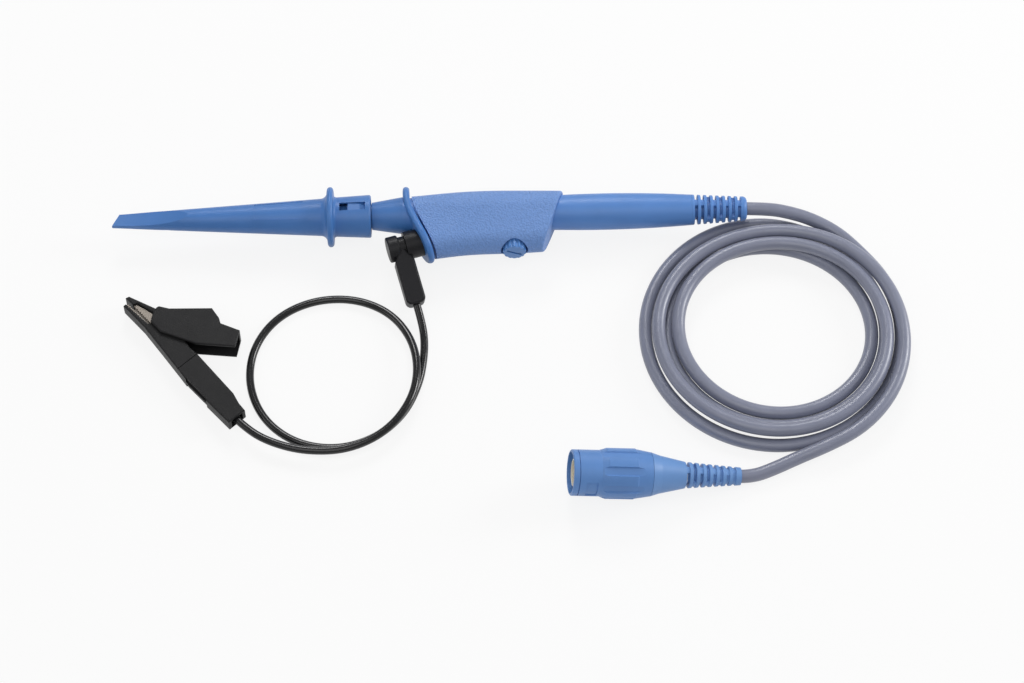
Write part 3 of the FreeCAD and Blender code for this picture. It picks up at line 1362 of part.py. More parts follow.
def cable_plug_end():
    """End of the cable inside the plug's boot."""
    return rod(V(0, 0, 0), V(CONTACT_BODY_START - 2 * FIT, 0, 0), CABLE_RADIUS)


# Crocodile clip

def clip_placement():
    """Place of the clip, lying on its side."""
    turn = FreeCAD.Rotation(V(0, 0, 1), CLIP_HEADING) * FreeCAD.Rotation(V(1, 0, 0), 180)
    return FreeCAD.Placement(V(CLIP_REAR[0], CLIP_REAR[1], CLIP_HALF_WIDTH), turn)


def clip_point(station):
    """Point on the line along which the wire enters the clip."""
    return clip_placement().multVec(V(station, 0, 0))


def pivot_rod(radius, half_length):
    """Round rod on the clip's pivot."""
    return rod(V(CLIP_PIVOT[0], CLIP_PIVOT[1], -half_length),
               V(CLIP_PIVOT[0], CLIP_PIVOT[1], half_length), radius)


def rounded_plate(outline, half_width):
    """Plate of an outline, with its outer edges rounded."""
    plate = prism_z(outline, -half_width, half_width)
    rim = edges_where(plate, lambda middle: abs(abs(middle.z) - half_width) < 1e-3)
    return plate.makeFillet(CLIP_EDGE_RADIUS, rim)


def clip_lower_cover():
    """Lower cover of the clip, hollow from the wire's end to the jaw."""
    inside = LOWER_HALF_WIDTH - LOWER_WALL
    cover = rounded_plate(LOWER_COVER, LOWER_HALF_WIDTH)
    hollow = prism_z(LOWER_HOLLOW, -inside, inside)
    seat_rear, seat_front = LOWER_JAW_SEAT
    above = 2 * CLIP_HALF_WIDTH
    beyond = seat_front[0] + 1
    behind = CLIP_PIVOT[0] + JAW_HUB_RADIUS
    channel = prism_z([(behind, seat_rear[1] - FIT), (seat_rear[0], seat_rear[1] - FIT),
                       (beyond, seat_front[1] - FIT), (beyond, above), (behind, above)],
                      -JAW_HALF_WIDTH - FIT, JAW_HALF_WIDTH + FIT)
    pin_hole = pivot_rod(PIVOT_RADIUS + FIT, CLIP_HALF_WIDTH)
    return cover.cut(hollow).cut(channel).cut(pin_hole).cut(clip_seam()).cut(clip_ledge())


def clip_seam():
    """Cutter for the seam across both faces of the lower cover."""
    across = (-2 * CLIP_HALF_WIDTH, 2 * CLIP_HALF_WIDTH)
    depth = LOWER_HALF_WIDTH - CLIP_SEAM_DEPTH
    upper = block(CLIP_SEAM, across, (depth, CLIP_HALF_WIDTH))
    return upper.fuse(block(CLIP_SEAM, across, (-CLIP_HALF_WIDTH, -depth)))


def clip_ledge():
    """Cutters for the step along the back of the lower cover, on both faces."""
    back = min(point[1] for point in LOWER_COVER)
    depth = (back - 1, back + CLIP_LEDGE_DEPTH)
    upper = block(CLIP_LEDGE, depth, (CLIP_LEDGE_HEIGHT, CLIP_HALF_WIDTH))
    return upper.fuse(block(CLIP_LEDGE, depth, (-CLIP_HALF_WIDTH, -CLIP_LEDGE_HEIGHT)))


def pin_half_length():
    """Half the length of the pivot pin, which ends inside the lever's walls."""
    return CLIP_HALF_WIDTH - CLIP_LEVER_WALL / 2


def clip_upper_cover():
    """Lever and upper jaw cover, a channel that straddles the lower cover."""
    inside = CLIP_HALF_WIDTH - CLIP_LEVER_WALL
    shell = rounded_plate(UPPER_COVER, CLIP_HALF_WIDTH)
    shell = shell.cut(prism_z(UPPER_HOLLOW, -inside, inside))
    bar = rounded_plate(JAW_BAR, JAW_BAR_HALF_WIDTH)
    pin_hole = pivot_rod(PIVOT_RADIUS + FIT, pin_half_length() + FIT)
    return joined([shell, bar]).cut(clip_upper_jaw()).cut(pin_hole)


def toothed(start, end, depth):
    """Points of a row of teeth from one point to another, on the left of the way."""
    way = end - start
    aside = V(-way.y, way.x, 0).normalize() * depth
    points = []
    for index in range(JAW_TEETH):
        first = start + way * (index / JAW_TEETH)
        peak = start + way * ((index + 0.5) / JAW_TEETH) + aside
        points.append((first.x, first.y))
        points.append((peak.x, peak.y))
    points.append((end.x, end.y))
    return points


def clip_lower_jaw():
    """Metal strip from the crimp to the toothed lower jaw."""
    tip = V(LOWER_JAW_TIP[0], LOWER_JAW_TIP[1] - JAW_TOOTH_DEPTH, 0)
    teeth_start = tip - V(JAW_TEETH * JAW_TOOTH_PITCH, 0, 0)
    strip_start = CLIP_CRIMP_START + CLIP_CRIMP_LENGTH
    seat_rear, seat_front = LOWER_JAW_SEAT
    outline = [(strip_start, -JAW_SHEET / 2), seat_rear, seat_front, (tip.x, tip.y)]
    outline += toothed(tip, teeth_start, -JAW_TOOTH_DEPTH)[1:]
    outline += [(seat_rear[0], seat_rear[1] + JAW_SHEET), (strip_start, JAW_SHEET / 2)]
    return prism_z(outline, -JAW_HALF_WIDTH, JAW_HALF_WIDTH)


def clip_upper_jaw():
    """Toothed upper jaw with two cheeks on the pivot."""
    teeth = toothed(V(*UPPER_JAW_TEETH_START, 0), V(*UPPER_JAW[0], 0), -JAW_TOOTH_DEPTH)
    plate = prism_z(UPPER_JAW + teeth[:-1], -JAW_HALF_WIDTH, JAW_HALF_WIDTH)
    hub = pivot_rod(JAW_HUB_RADIUS, JAW_HALF_WIDTH)
    inside = JAW_HALF_WIDTH - JAW_SHEET
    reach = CLIP_PIVOT[0] + 2.2 * JAW_HUB_RADIUS
    window = block((0, reach), (-CLIP_HALF_WIDTH, 3 * CLIP_HALF_WIDTH), (-inside, inside))
    return joined([plate, hub]).cut(window).cut(pivot_rod(PIVOT_RADIUS + FIT, CLIP_HALF_WIDTH))


def clip_pivot_pin():
    """Pin through the lower cover and the upper jaw, into both walls of the lever."""
    return pivot_rod(PIVOT_RADIUS, pin_half_length())


def clip_spring():
    """Torsion spring around the pivot pin."""
    width = 2 * (JAW_HALF_WIDTH - JAW_SHEET) - 2 * TORSION_WIRE_RADIUS - 8 * FIT

    def at(turn):
        angle = math.radians(90 + 360 * turn)
        return V(CLIP_PIVOT[0] + TORSION_MEAN_RADIUS * math.cos(angle),
                 CLIP_PIVOT[1] + TORSION_MEAN_RADIUS * math.sin(angle),
                 width * (turn / TORSION_TURNS - 0.5))
    points, ways = sampled(at, round(4 * TORSION_TURNS), TORSION_TURNS)
    least_gap(at, TORSION_TURNS, 2 * TORSION_WIRE_RADIUS, "clip_spring")
    path = wound_path(points, ways, 0, TORSION_MEAN_RADIUS)
    return swept(path, points[0], ways[0], TORSION_WIRE_RADIUS, "clip_spring")


def clip_wire_crimp():
    """Crimp that joins the wire to the lower jaw."""
    start = V(CLIP_CRIMP_START, 0, 0)
    return rod(start, start + V(CLIP_CRIMP_LENGTH, 0, 0), CLIP_CRIMP_RADIUS)


# All pieces

PROBE_PIECES = [
    hook_sleeve, hook_core, hook_wire, hook_contact, hook_spring, nose_housing, probe_needle,
    tip_insulator, input_resistor, shield_tube, rear_housing, grip_sleeve, trimmer_knob,
    trimmer_capacitor, compensation_board, board_components, inner_conductor, cable_inner_end,
    cable_crimp_ferrule, cable_strain_relief, ground_socket_boss, ground_socket, ground_plug,
    ground_plug_pin,
]
PLUG_PIECES = [
    connector_boot, bayonet_shell, bayonet_nut, contact_sleeve, contact_dielectric,
    insulating_collar, centre_pin, plug_gasket, wave_washer, connector_crimp, cable_plug_end,
]
CLIP_PIECES = [
    clip_lower_cover, clip_upper_cover, clip_lower_jaw, clip_upper_jaw, clip_pivot_pin,
    clip_spring, clip_wire_crimp,
]


def save(name, shape):
    """Write one piece, after a look at its solids."""
    solids = shape.Solids
    sound = all(solid.isValid() for solid in solids)
    volume = round(sum(solid.Volume for solid in solids), 1)
    print(name, "solids", len(solids), "sound", sound, "volume", volume)
    shape.exportStep("parts/" + name + ".step")


def main():
    """Build every piece in the frame and write it."""
    os.makedirs("parts", exist_ok=True)
    for piece in PROBE_PIECES:
        shape = piece()
        shape.translate(DATUM)
        save(piece.__name__, shape)
    for piece in PLUG_PIECES:
        save(piece.__name__, placed(piece(), plug_placement()))
    for piece in CLIP_PIECES:
        save(piece.__name__, placed(piece(), clip_placement()))
    save("cable_lead_in", cord(lead_in_points(), CABLE_RADIUS, "cable_lead_in"))
    save("cable_coil", cable_coil())
    save("cable_tail", cord(tail_points(), CABLE_RADIUS, "cable_tail"))
    save("ground_wire", cord(ground_wire_points(), WIRE_RADIUS, "ground_wire"))


def placed(shape, placement):
    """Shape carried from its own frame into the part's frame."""
    shape.Placement = placement.multiply(shape.Placement)
    return shape


main()
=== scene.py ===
"""Looks, cords, light and camera of a passive oscilloscope probe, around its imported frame."""
import json
import logging
import math
from dataclasses import dataclass
from enum import Enum

import bpy
import numpy as np
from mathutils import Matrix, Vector


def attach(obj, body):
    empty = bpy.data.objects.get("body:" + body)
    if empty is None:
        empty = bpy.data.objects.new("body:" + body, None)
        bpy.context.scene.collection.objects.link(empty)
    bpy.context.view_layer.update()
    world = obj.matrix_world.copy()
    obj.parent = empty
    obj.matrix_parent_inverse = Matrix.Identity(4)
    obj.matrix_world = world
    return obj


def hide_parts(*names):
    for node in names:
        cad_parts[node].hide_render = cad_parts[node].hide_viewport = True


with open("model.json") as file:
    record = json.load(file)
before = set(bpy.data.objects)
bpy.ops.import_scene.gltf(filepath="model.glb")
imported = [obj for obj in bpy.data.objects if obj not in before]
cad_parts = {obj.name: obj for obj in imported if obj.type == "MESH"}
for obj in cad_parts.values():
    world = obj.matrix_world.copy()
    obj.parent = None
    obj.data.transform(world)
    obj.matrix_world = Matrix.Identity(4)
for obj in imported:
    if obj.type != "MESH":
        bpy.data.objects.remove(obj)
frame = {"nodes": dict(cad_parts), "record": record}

LOG = logging.getLogger("probe")

Colour = tuple[float, float, float]
Point = tuple[float, float, float]
Span = tuple[float, float]

MM_PER_M = 1000
WHITE = (1.0, 1.0, 1.0, 1.0)


class Body(Enum):
    """Rigid bodies that pieces ride on."""

    PROBE = "probe_body"
    GROUND_LEAD = "ground_lead"


# Materials


class ShaderGraph:
    """Node tree of one material, with short calls for the nodes that the finishes use."""

    # A Mix node repeats the names of its sockets for each kind of data, so these are places.
    MIX_SHARE, MIX_FIRST, MIX_SECOND = 0, 6, 7
    MIX_RESULT = 2
    CELL_SMOOTHNESS = 0.6

    def __init__(self, name: str) -> None:
        """Start a material with its principled shader.

        Args:
            name: Name of the material.
        """
        self.material = bpy.data.materials.new(name)
        self.material.use_nodes = True
        self.tree = self.material.node_tree
        self.shader = self.tree.nodes["Principled BSDF"]

    def add(self, kind: str, sockets: dict[str | int, object],
            **settings: object) -> bpy.types.Node:
        """Add a node and fill its sockets.

        Args:
            kind: Node type without its prefix.
            sockets: Values, or sockets to link from, by input name.
            settings: Properties of the node itself.

        Returns:
            The new node.
        """
        node = self.tree.nodes.new("ShaderNode" + kind)
        for name, value in settings.items():
            setattr(node, name, value)
        for name, value in sockets.items():
            self.put(node.inputs[name], value)
        return node

    def put(self, socket: bpy.types.NodeSocket, value: object) -> None:
        """Link a socket to another one, or give it a plain value.

        Args:
            socket: Input that is filled.
            value: Another node's output, or a number or tuple.
        """
        if isinstance(value, bpy.types.NodeSocket):
            self.tree.links.new(value, socket)
        else:
            socket.default_value = value

    def position(self, stretch: Point) -> bpy.types.NodeSocket:
        """Object coordinates, stretched per axis.

        Args:
            stretch: Scale along X, Y and Z.

        Returns:
            Vector output.
        """
        source = self.add("TexCoord", {}).outputs["Object"]
        return self.add("Mapping", {"Vector": source, "Scale": stretch}).outputs["Vector"]

    def noise(self, size: float, detail: float = 2.0,
              stretch: Point = (1.0, 1.0, 1.0)) -> bpy.types.NodeSocket:
        """Smooth noise whose bumps are about a given size.

        Args:
            size: Size of one bump in metres.
            detail: Number of finer layers.
            stretch: Scale of the coordinates along each axis.

        Returns:
            Value output around one half.
        """
        node = self.add("TexNoise", {"Vector": self.position(stretch), "Scale": 1 / size,
                                     "Detail": detail})
        return node.outputs["Fac"]

    def cells(self, size: float) -> bpy.types.NodeSocket:
        """Rounded cells with creases between them, like a fine leather grain.

        Args:
            size: Width of one cell in metres.

        Returns:
            Distance output, small in the middle of a cell.
        """
        node = self.add("TexVoronoi", {"Vector": self.position((1.0, 1.0, 1.0)),
                                       "Scale": 1 / size, "Smoothness": self.CELL_SMOOTHNESS},
                        feature="SMOOTH_F1")
        return node.outputs["Distance"]

    def ranged(self, value: bpy.types.NodeSocket, low: float, high: float,
               start: float = 0.3, end: float = 0.7) -> bpy.types.NodeSocket:
        """Map a value that runs from start to end onto low to high.

        Args:
            value: Value to map.
            low: Result at start.
            high: Result at end.
            start: Lower end of the value.
            end: Upper end of the value.

        Returns:
            Mapped value, held at its ends.
        """
        node = self.add("MapRange", {"Value": value, "From Min": start, "From Max": end,
                                     "To Min": low, "To Max": high})
        return node.outputs["Result"]

    def between(self, value: bpy.types.NodeSocket, first: Colour,
                second: Colour) -> bpy.types.NodeSocket:
        """Colour that runs from one colour to another with a value.

        Args:
            value: Share of the second colour.
            first: Colour where the value is 0.
            second: Colour where the value is 1.

        Returns:
            Colour output.
        """
        node = self.tree.nodes.new("ShaderNodeMix")
        node.data_type = "RGBA"
        self.put(node.inputs[self.MIX_SHARE], value)
        self.put(node.inputs[self.MIX_FIRST], (*first, 1.0))
        self.put(node.inputs[self.MIX_SECOND], (*second, 1.0))
        return node.outputs[self.MIX_RESULT]

    def arithmetic(self, operation: str, first: object, second: object) -> bpy.types.NodeSocket:
        """Result of one sum on two values.

        Args:
            operation: Name of the sum.
            first: Number, or output to link from.
            second: Number, or output to link from.

        Returns:
            Value output.
        """
        return self.add("Math", {0: first, 1: second}, operation=operation).outputs[0]

    def raise_surface(self, height: bpy.types.NodeSocket, depth: float) -> None:
        """Add a bump on top of those that the shader already has.

        Args:
            height: Height of the surface, from 0 to 1.
            depth: Height in metres that the value 1 stands for.
        """
        bump = self.add("Bump", {"Height": height, "Distance": depth, "Strength": 1.0})
        normal = self.shader.inputs["Normal"]
        if normal.links:
            self.put(bump.inputs["Normal"], normal.links[0].from_socket)
        self.put(normal, bump.outputs["Normal"])

    def constant(self, **values: object) -> None:
        """Set plain values on the shader's own sockets, with _ for a blank in their names."""
        for name, value in values.items():
            self.shader.inputs[name.replace("_", " ")].default_value = value


def scaled(colour: Colour, factor: float) -> Colour:
    """Colour made lighter or darker by a factor."""
    return tuple(min(1.0, channel * factor) for channel in colour)


@dataclass(frozen=True)
class Finish:
    """Moulded plastic, and the base of the other finishes.

    Attributes:
        colour: Base colour, linear.
        roughness: Middle of the roughness.
        gloss_spread: How far the roughness wanders to each side.
        mottle: How far the colour wanders to each side, as a share.
        mottle_size: Size of the colour's patches in metres.
        grain_size: Size of the fine texture in metres.
        grain_depth: Height of the fine texture in metres.
        specular: Specular level.
    """

    colour: Colour
    roughness: float = 0.42
    gloss_spread: float = 0.05
    mottle: float = 0.04
    mottle_size: float = 0.009
    grain_size: float = 0.00028
    grain_depth: float = 0.000012
    specular: float = 0.5

    def build(self, name: str) -> bpy.types.Material:
        """Make the material.

        Args:
            name: Name of the material.

        Returns:
            The finished material.
        """
        graph = ShaderGraph(name)
        self.paint(graph)
        self.polish(graph)
        self.texture(graph)
        graph.constant(Specular_IOR_Level=self.specular)
        return graph.material

    def paint(self, graph: ShaderGraph) -> None:
        """Colour that wanders a little in soft patches.

        Args:
            graph: Node tree of the material.
        """
        patches = graph.ranged(graph.noise(self.mottle_size), 0.0, 1.0)
        colour = graph.between(patches, scaled(self.colour, 1 - self.mottle),
                               scaled(self.colour, 1 + self.mottle))
        graph.put(graph.shader.inputs["Base Color"], colour)

    def polish(self, graph: ShaderGraph) -> None:
        """Roughness that wanders in patches a third as large, as handling leaves it.

        Args:
            graph: Node tree of the material.
        """
        handled = graph.noise(self.mottle_size / 3, detail=4.0)
        roughness = graph.ranged(handled, self.roughness - self.gloss_spread,
                                 self.roughness + self.gloss_spread)
        graph.put(graph.shader.inputs["Roughness"], roughness)

    def texture(self, graph: ShaderGraph) -> None:
        """Fine surface of a spark-eroded mould."""
        graph.raise_surface(graph.noise(self.grain_size), self.grain_depth)


@dataclass(frozen=True)
class LeatherGrain(Finish):
    """Plastic with a leather-like grain, and painted shade in the creases of the grain.

    Attributes:
        cell_size: Width of one cell of the grain in metres.
        cell_depth: Depth of the creases in metres.
        painted_crease_shade_span: Distances in a cell between which its colour darkens, as
            painted shade in the creases.
        dome_span: Distances in a cell between which its surface falls.
    """

    cell_size: float = 0.00062
    cell_depth: float = 0.00015
    painted_crease_shade_span: Span = (0.3, 0.75)
    dome_span: Span = (0.1, 0.8)

    def paint(self, graph: ShaderGraph) -> None:
        """One colour in the cells, and a little darker in the creases between them, as painted
        shade.

        Args:
            graph: Node tree of the material.
        """
        # Painted shade: the colour runs from a mottle share above the base in the cells to twice
        # that share below it in the creases.
        crease_shade = graph.ranged(graph.cells(self.cell_size), 0.0, 1.0, *self.painted_crease_shade_span)
        colour = graph.between(crease_shade, scaled(self.colour, 1 + self.mottle),
                               scaled(self.colour, 1 - 2 * self.mottle))
        graph.put(graph.shader.inputs["Base Color"], colour)

    def texture(self, graph: ShaderGraph) -> None:
        """Rounded cells between creases, over a finer noise.

        Args:
            graph: Node tree of the material.
        """
        dome = graph.ranged(graph.cells(self.cell_size), 1.0, 0.0, *self.dome_span)
        graph.raise_surface(dome, self.cell_depth)
        graph.raise_surface(graph.noise(self.cell_size / 2), self.cell_depth / 2)


@dataclass(frozen=True)
class Jacket(Finish):
    """Flexible jacket of a cable, with a soft sheen.

    Attributes:
        wave_size: Size of the jacket's waves, as a multiple of the grain's.
        wave_depth: Height of the waves, as a multiple of the grain's.
        sheen: Weight of the sheen.
        sheen_roughness: Roughness of the sheen.
    """

    wave_size: float = 8.0
    wave_depth: float = 2.0
    sheen: float = 0.12
    sheen_roughness: float = 0.4

    def texture(self, graph: ShaderGraph) -> None:
        """Long shallow waves of the extruded jacket and a very fine noise.

        Args:
            graph: Node tree of the material.
        """
        graph.raise_surface(graph.noise(self.wave_size * self.grain_size),
                            self.wave_depth * self.grain_depth)
        graph.raise_surface(graph.noise(self.grain_size), self.grain_depth)
        graph.constant(Sheen_Weight=self.sheen, Sheen_Roughness=self.sheen_roughness)


@dataclass(frozen=True)
class TurnedMetal(Finish):
    """Metal with fine lines across its length.

    Attributes:
        line_stretch: Scale of the noise along X, Y and Z that draws the lines out.
    """

    line_stretch: Point = (1.0, 0.08, 0.08)

    def lines(self, graph: ShaderGraph) -> bpy.types.NodeSocket:
        """Noise that is drawn out into lines."""
        return graph.noise(self.grain_size, detail=3.0, stretch=self.line_stretch)

    def polish(self, graph: ShaderGraph) -> None:
        """Roughness that changes from line to line."""
        roughness = graph.ranged(self.lines(graph), self.roughness - self.gloss_spread,
                                 self.roughness + self.gloss_spread)
        graph.put(graph.shader.inputs["Roughness"], roughness)

    def texture(self, graph: ShaderGraph) -> None:
        """Fine lines left by the tool."""
        graph.raise_surface(self.lines(graph), self.grain_depth)
        graph.constant(Metallic=1.0)


@dataclass(frozen=True)
class Translucent(Finish):
    """Insulating plastic that lets a little light in.

    Attributes:
        share: Share of the light that goes in.
        spread: How far red, green and blue travel, as shares of depth.
        depth: How far light travels in it, in metres.
    """

    share: float = 0.25
    spread: Colour = (1.0, 0.7, 0.45)
    depth: float = 0.0008

    def texture(self, graph: ShaderGraph) -> None:
        """Fine texture over a translucent body."""
        super().texture(graph)
        graph.constant(Subsurface_Weight=self.share, Subsurface_Radius=self.spread,
                       Subsurface_Scale=self.depth)


@dataclass(frozen=True)
class BoardMask(Finish):
    """Solder mask over copper tracks.

    Attributes:
        track: Colour of the mask where copper lies under it.
        track_pitch: Distance between tracks in metres.
        track_stretch: Scale of the coordinates, which draws the tracks out along the board.
        track_wander: How far the tracks wander.
        track_edge: Heights of the wave between which the edge of a track lies.
    """

    # Distance between the bands of a wave texture at scale 1.
    BAND_AT_ONE = 0.3

    track: Colour = (0.09, 0.30, 0.12)
    track_pitch: float = 0.0012
    track_stretch: Point = (0.2, 1.0, 1.0)
    track_wander: float = 2.0
    track_edge: Span = (0.55, 0.6)

    def paint(self, graph: ShaderGraph) -> None:
        """Stripes of lighter mask where the tracks run along the board.

        Args:
            graph: Node tree of the material.
        """
        wave = graph.add("TexWave", {"Vector": graph.position(self.track_stretch),
                                     "Scale": self.BAND_AT_ONE / self.track_pitch,
                                     "Distortion": self.track_wander},
                         bands_direction="Z")
        share = graph.ranged(wave.outputs["Fac"], 0.0, 1.0, *self.track_edge)
        graph.put(graph.shader.inputs["Base Color"],
                  graph.between(share, self.colour, self.track))


FINISHES: dict[str, Finish] = {
    "body_blue": Finish((0.052, 0.174, 0.470)),
    "housing_blue": Finish((0.085, 0.225, 0.560)),
    "grip_blue": LeatherGrain((0.140, 0.270, 0.590), roughness=0.5),
    "knob_blue": Finish((0.085, 0.225, 0.540), roughness=0.3),
    "plug_blue": Finish((0.100, 0.235, 0.540)),
    "boot_blue": Finish((0.135, 0.280, 0.580)),
    "cable_grey": Jacket((0.190, 0.205, 0.280), roughness=0.36, grain_size=0.0004, specular=0.8),
    "lead_black": Finish((0.010, 0.010, 0.012), specular=0.25),
    "clip_black": Finish((0.010, 0.010, 0.011), roughness=0.48, grain_size=0.0004,
                         grain_depth=0.00005, specular=0.25),
    "wire_black": Jacket((0.006, 0.006, 0.007), roughness=0.2, grain_size=0.0004),
    # Steel's colour is darkened well below bare steel: painted shade for the shaded inner faces
    # of the clip's jaws.
    "steel": TurnedMetal((0.28, 0.25, 0.22), roughness=0.4),
    "brass": TurnedMetal((0.80, 0.60, 0.28), roughness=0.25),
    "nickel": TurnedMetal((0.74, 0.73, 0.70), roughness=0.18),
    "gold": TurnedMetal((0.92, 0.70, 0.30), roughness=0.16),
    "cream_insulator": Translucent((0.80, 0.74, 0.60), roughness=0.4),
    "white_insulator": Translucent((0.84, 0.84, 0.82), roughness=0.4),
    "board_green": BoardMask((0.04, 0.19, 0.08), roughness=0.3),
    "component_dark": Finish((0.05, 0.05, 0.055), roughness=0.45),
    "resistor_body": Finish((0.50, 0.36, 0.22), roughness=0.25),
    "gasket_rubber": Finish((0.05, 0.05, 0.05), roughness=0.6),
}

OWN_FINISHES: dict[str, str] = {
    "rear_housing": "housing_blue",
    "cable_strain_relief": "housing_blue",
    "connector_boot": "boot_blue",
}


class MaterialShelf:
    """Materials by the names of their finishes, each made when it is first asked for."""

    def __init__(self) -> None:
        """Start with nothing made."""
        self.made: dict[str, bpy.types.Material] = {}

    def __getitem__(self, finish: str) -> bpy.types.Material:
        """Material of a finish.

        Args:
            finish: Name of the finish.

        Returns:
            The finished material.
        """
        if finish not in self.made:
            self.made[finish] = FINISHES[finish].build(finish)
        return self.made[finish]

    def dress_nodes(self) -> None:
        """Give every node of the frame its own finish, or that of its slot."""
        for part in frame["record"]["subparts"]:
            node = frame["nodes"][part["node"]]
            finish = OWN_FINISHES.get(part["node"], part["material_slot"])
            node.data.materials.clear()
            node.data.materials.append(self[finish])
            LOG.info("dressed %s in %s", part["node"], finish)


# Cords


@dataclass
class Cord:
    """Round cord on one smooth curve.

    Attributes:
        name: Name of the piece.
        slot: Material slot of the record.
        radius: Radius in metres.
        body: Body that it rides on.
        nodes: Nodes of the frame that it stands for.
        carried: Nodes of the frame that hang on it; not used.
        length: Real length in metres; not used.
        far_end: What it ends in; not used.
        stiffness: How stiff it is; not used.
        lay: How it lies; not used.
    """

    ROUND_STEPS = 10
    CURVE_ORDER = 3
    STEPS_PER_POINT = 8

    name: str
    slot: str
    radius: float
    body: Body
    nodes: tuple[str, ...]
    carried: tuple[str, ...]
    length: float
    far_end: str
    stiffness: str
    lay: str

    def route(self) -> np.ndarray:
        """Control points of the cord's line, one row each, in metres."""
        raise NotImplementedError

    def build(self, shelf: MaterialShelf) -> bpy.types.Object:
        """Args:
            shelf: Materials.

        Returns:
            The cord's object.
        """
        route = self.route()
        curve = bpy.data.curves.new(self.name, "CURVE")
        curve.dimensions = "3D"
        curve.bevel_depth = self.radius
        curve.bevel_resolution = self.ROUND_STEPS
        curve.use_fill_caps = True
        spline = curve.splines.new("NURBS")
        spline.points.add(len(route) - 1)
        weights = np.ones((len(route), 1))
        spline.points.foreach_set("co", np.hstack([route, weights]).ravel())
        spline.order_u = self.CURVE_ORDER
        spline.use_endpoint_u = True
        spline.resolution_u = self.STEPS_PER_POINT
        curve.materials.append(shelf[self.slot])
        piece = bpy.data.objects.new(self.name, curve)
        bpy.context.scene.collection.objects.link(piece)
        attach(piece, self.body.value)
        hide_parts(*self.nodes)
        tuple(route[0])
        LOG.info("laid %s, %d points", self.name, len(route))
        return piece


@dataclass
class ProbeCable(Cord):
    """Grey cable: a lead-in, a piled coil and a tail to the bayonet plug.

    Attributes:
        lead_in: Points from the strain relief to the coil.
        tail: Points from the coil to the plug.
        centre: Middle of the coil.
        start_angle: Angle at which the coil starts, in degrees.
        laps: Radius and height of the cable's middle at each eighth of a turn, in
            millimetres: one lap round the outside on the surface, one inside it, one that
            climbs on the inside, and one on top that ends outside.
        last_share: Share of an eighth between the last two entries of laps.
        points_per_turn: Control points in each turn.
    """

    ENTRIES_PER_TURN = 8
    EASING = (1, 2, 3, 2, 1)

    lead_in: tuple[Point, ...] = (
        (0.1107, 0.00395, 0.0105), (0.1182, 0.0038, 0.0103), (0.1248, 0.0036, 0.0085),
        (0.1334, 0.0022, 0.0059), (0.1429, -0.0022, 0.0032),
    )
    tail: tuple[Point, ...] = (
        (0.1235, -0.0906, 0.0031), (0.115, -0.0943, 0.0024), (0.10735, -0.0973, 0.00236),
        (0.1028, -0.0975, 0.00305),
    )
    centre: tuple[float, float] = (0.1182, -0.0416)
    start_angle: float = 45.0
    laps: tuple[tuple[float, float], ...] = (
        (44.8, 2.3), (43.3, 2.3), (43.3, 2.3), (44.2, 2.3),
        (44.4, 2.3), (44.5, 2.3), (44.9, 2.3), (44.6, 2.3),
        (39.0, 2.3), (38.3, 2.3), (37.4, 2.3), (36.8, 2.3),
        (36.7, 2.3), (37.1, 2.3), (36.2, 2.3), (34.1, 2.3),
        (33.4, 2.3), (33.6, 2.3), (32.6, 2.5), (31.9, 2.9),
        (32.5, 4.5), (33.6, 6.0), (33.3, 6.7), (32.7, 7.1),
        (36.0, 6.8), (37.9, 7.1), (40.2, 6.8), (40.5, 6.5),
        (40.2, 6.3), (40.6, 6.2), (38.7, 6.5), (37.5, 7.1),
        (40.6, 8.8), (43.4, 7.3), (47.0, 5.9), (48.0, 4.5),
    )
    last_share: float = 0.62
    points_per_turn: int = 24

    def route(self) -> np.ndarray:
        """Lead-in, coil and tail in one row of points.

        Returns:
            Control points, one row each.
        """
        return np.vstack([self.lead_in, self.coil(), self.tail])

    def coil(self) -> np.ndarray:
        """Loose coil, laid clockwise.

        Radius and height run straight between the entries of laps and are then eased by a
        short moving average; the angle falls evenly, and radius and angle give the place
        around the centre. The radius is a little larger than the lap's, as the curve
        cuts inside its control points.

        Returns:
            Control points of the coil, one row each.
        """
        laps = np.array(self.laps) / MM_PER_M
        stations = np.arange(len(laps)) / self.ENTRIES_PER_TURN
        stations[-1] -= (1 - self.last_share) / self.ENTRIES_PER_TURN
        steps = round(stations[-1] * self.points_per_turn)
        turn = np.linspace(0.0, stations[-1], steps + 1)
        radius = self.eased(np.interp(turn, stations, laps[:, 0]))
        height = self.eased(np.interp(turn, stations, laps[:, 1]))
        radius /= math.cos(math.pi / self.points_per_turn)
        angle = math.radians(self.start_angle) - 2 * math.pi * turn
        return np.stack([self.centre[0] + radius * np.cos(angle),
                         self.centre[1] + radius * np.sin(angle), height], axis=1)

    def eased(self, values: np.ndarray) -> np.ndarray:
        """Values after a moving average over five neighbours that weighs the middle most.

        Args:
            values: Evenly spaced values.

        Returns:
            As many values.
        """
        weights = np.array(self.EASING) / sum(self.EASING)
        return np.convolve(np.pad(values, len(weights) // 2, mode="edge"), weights, mode="valid")


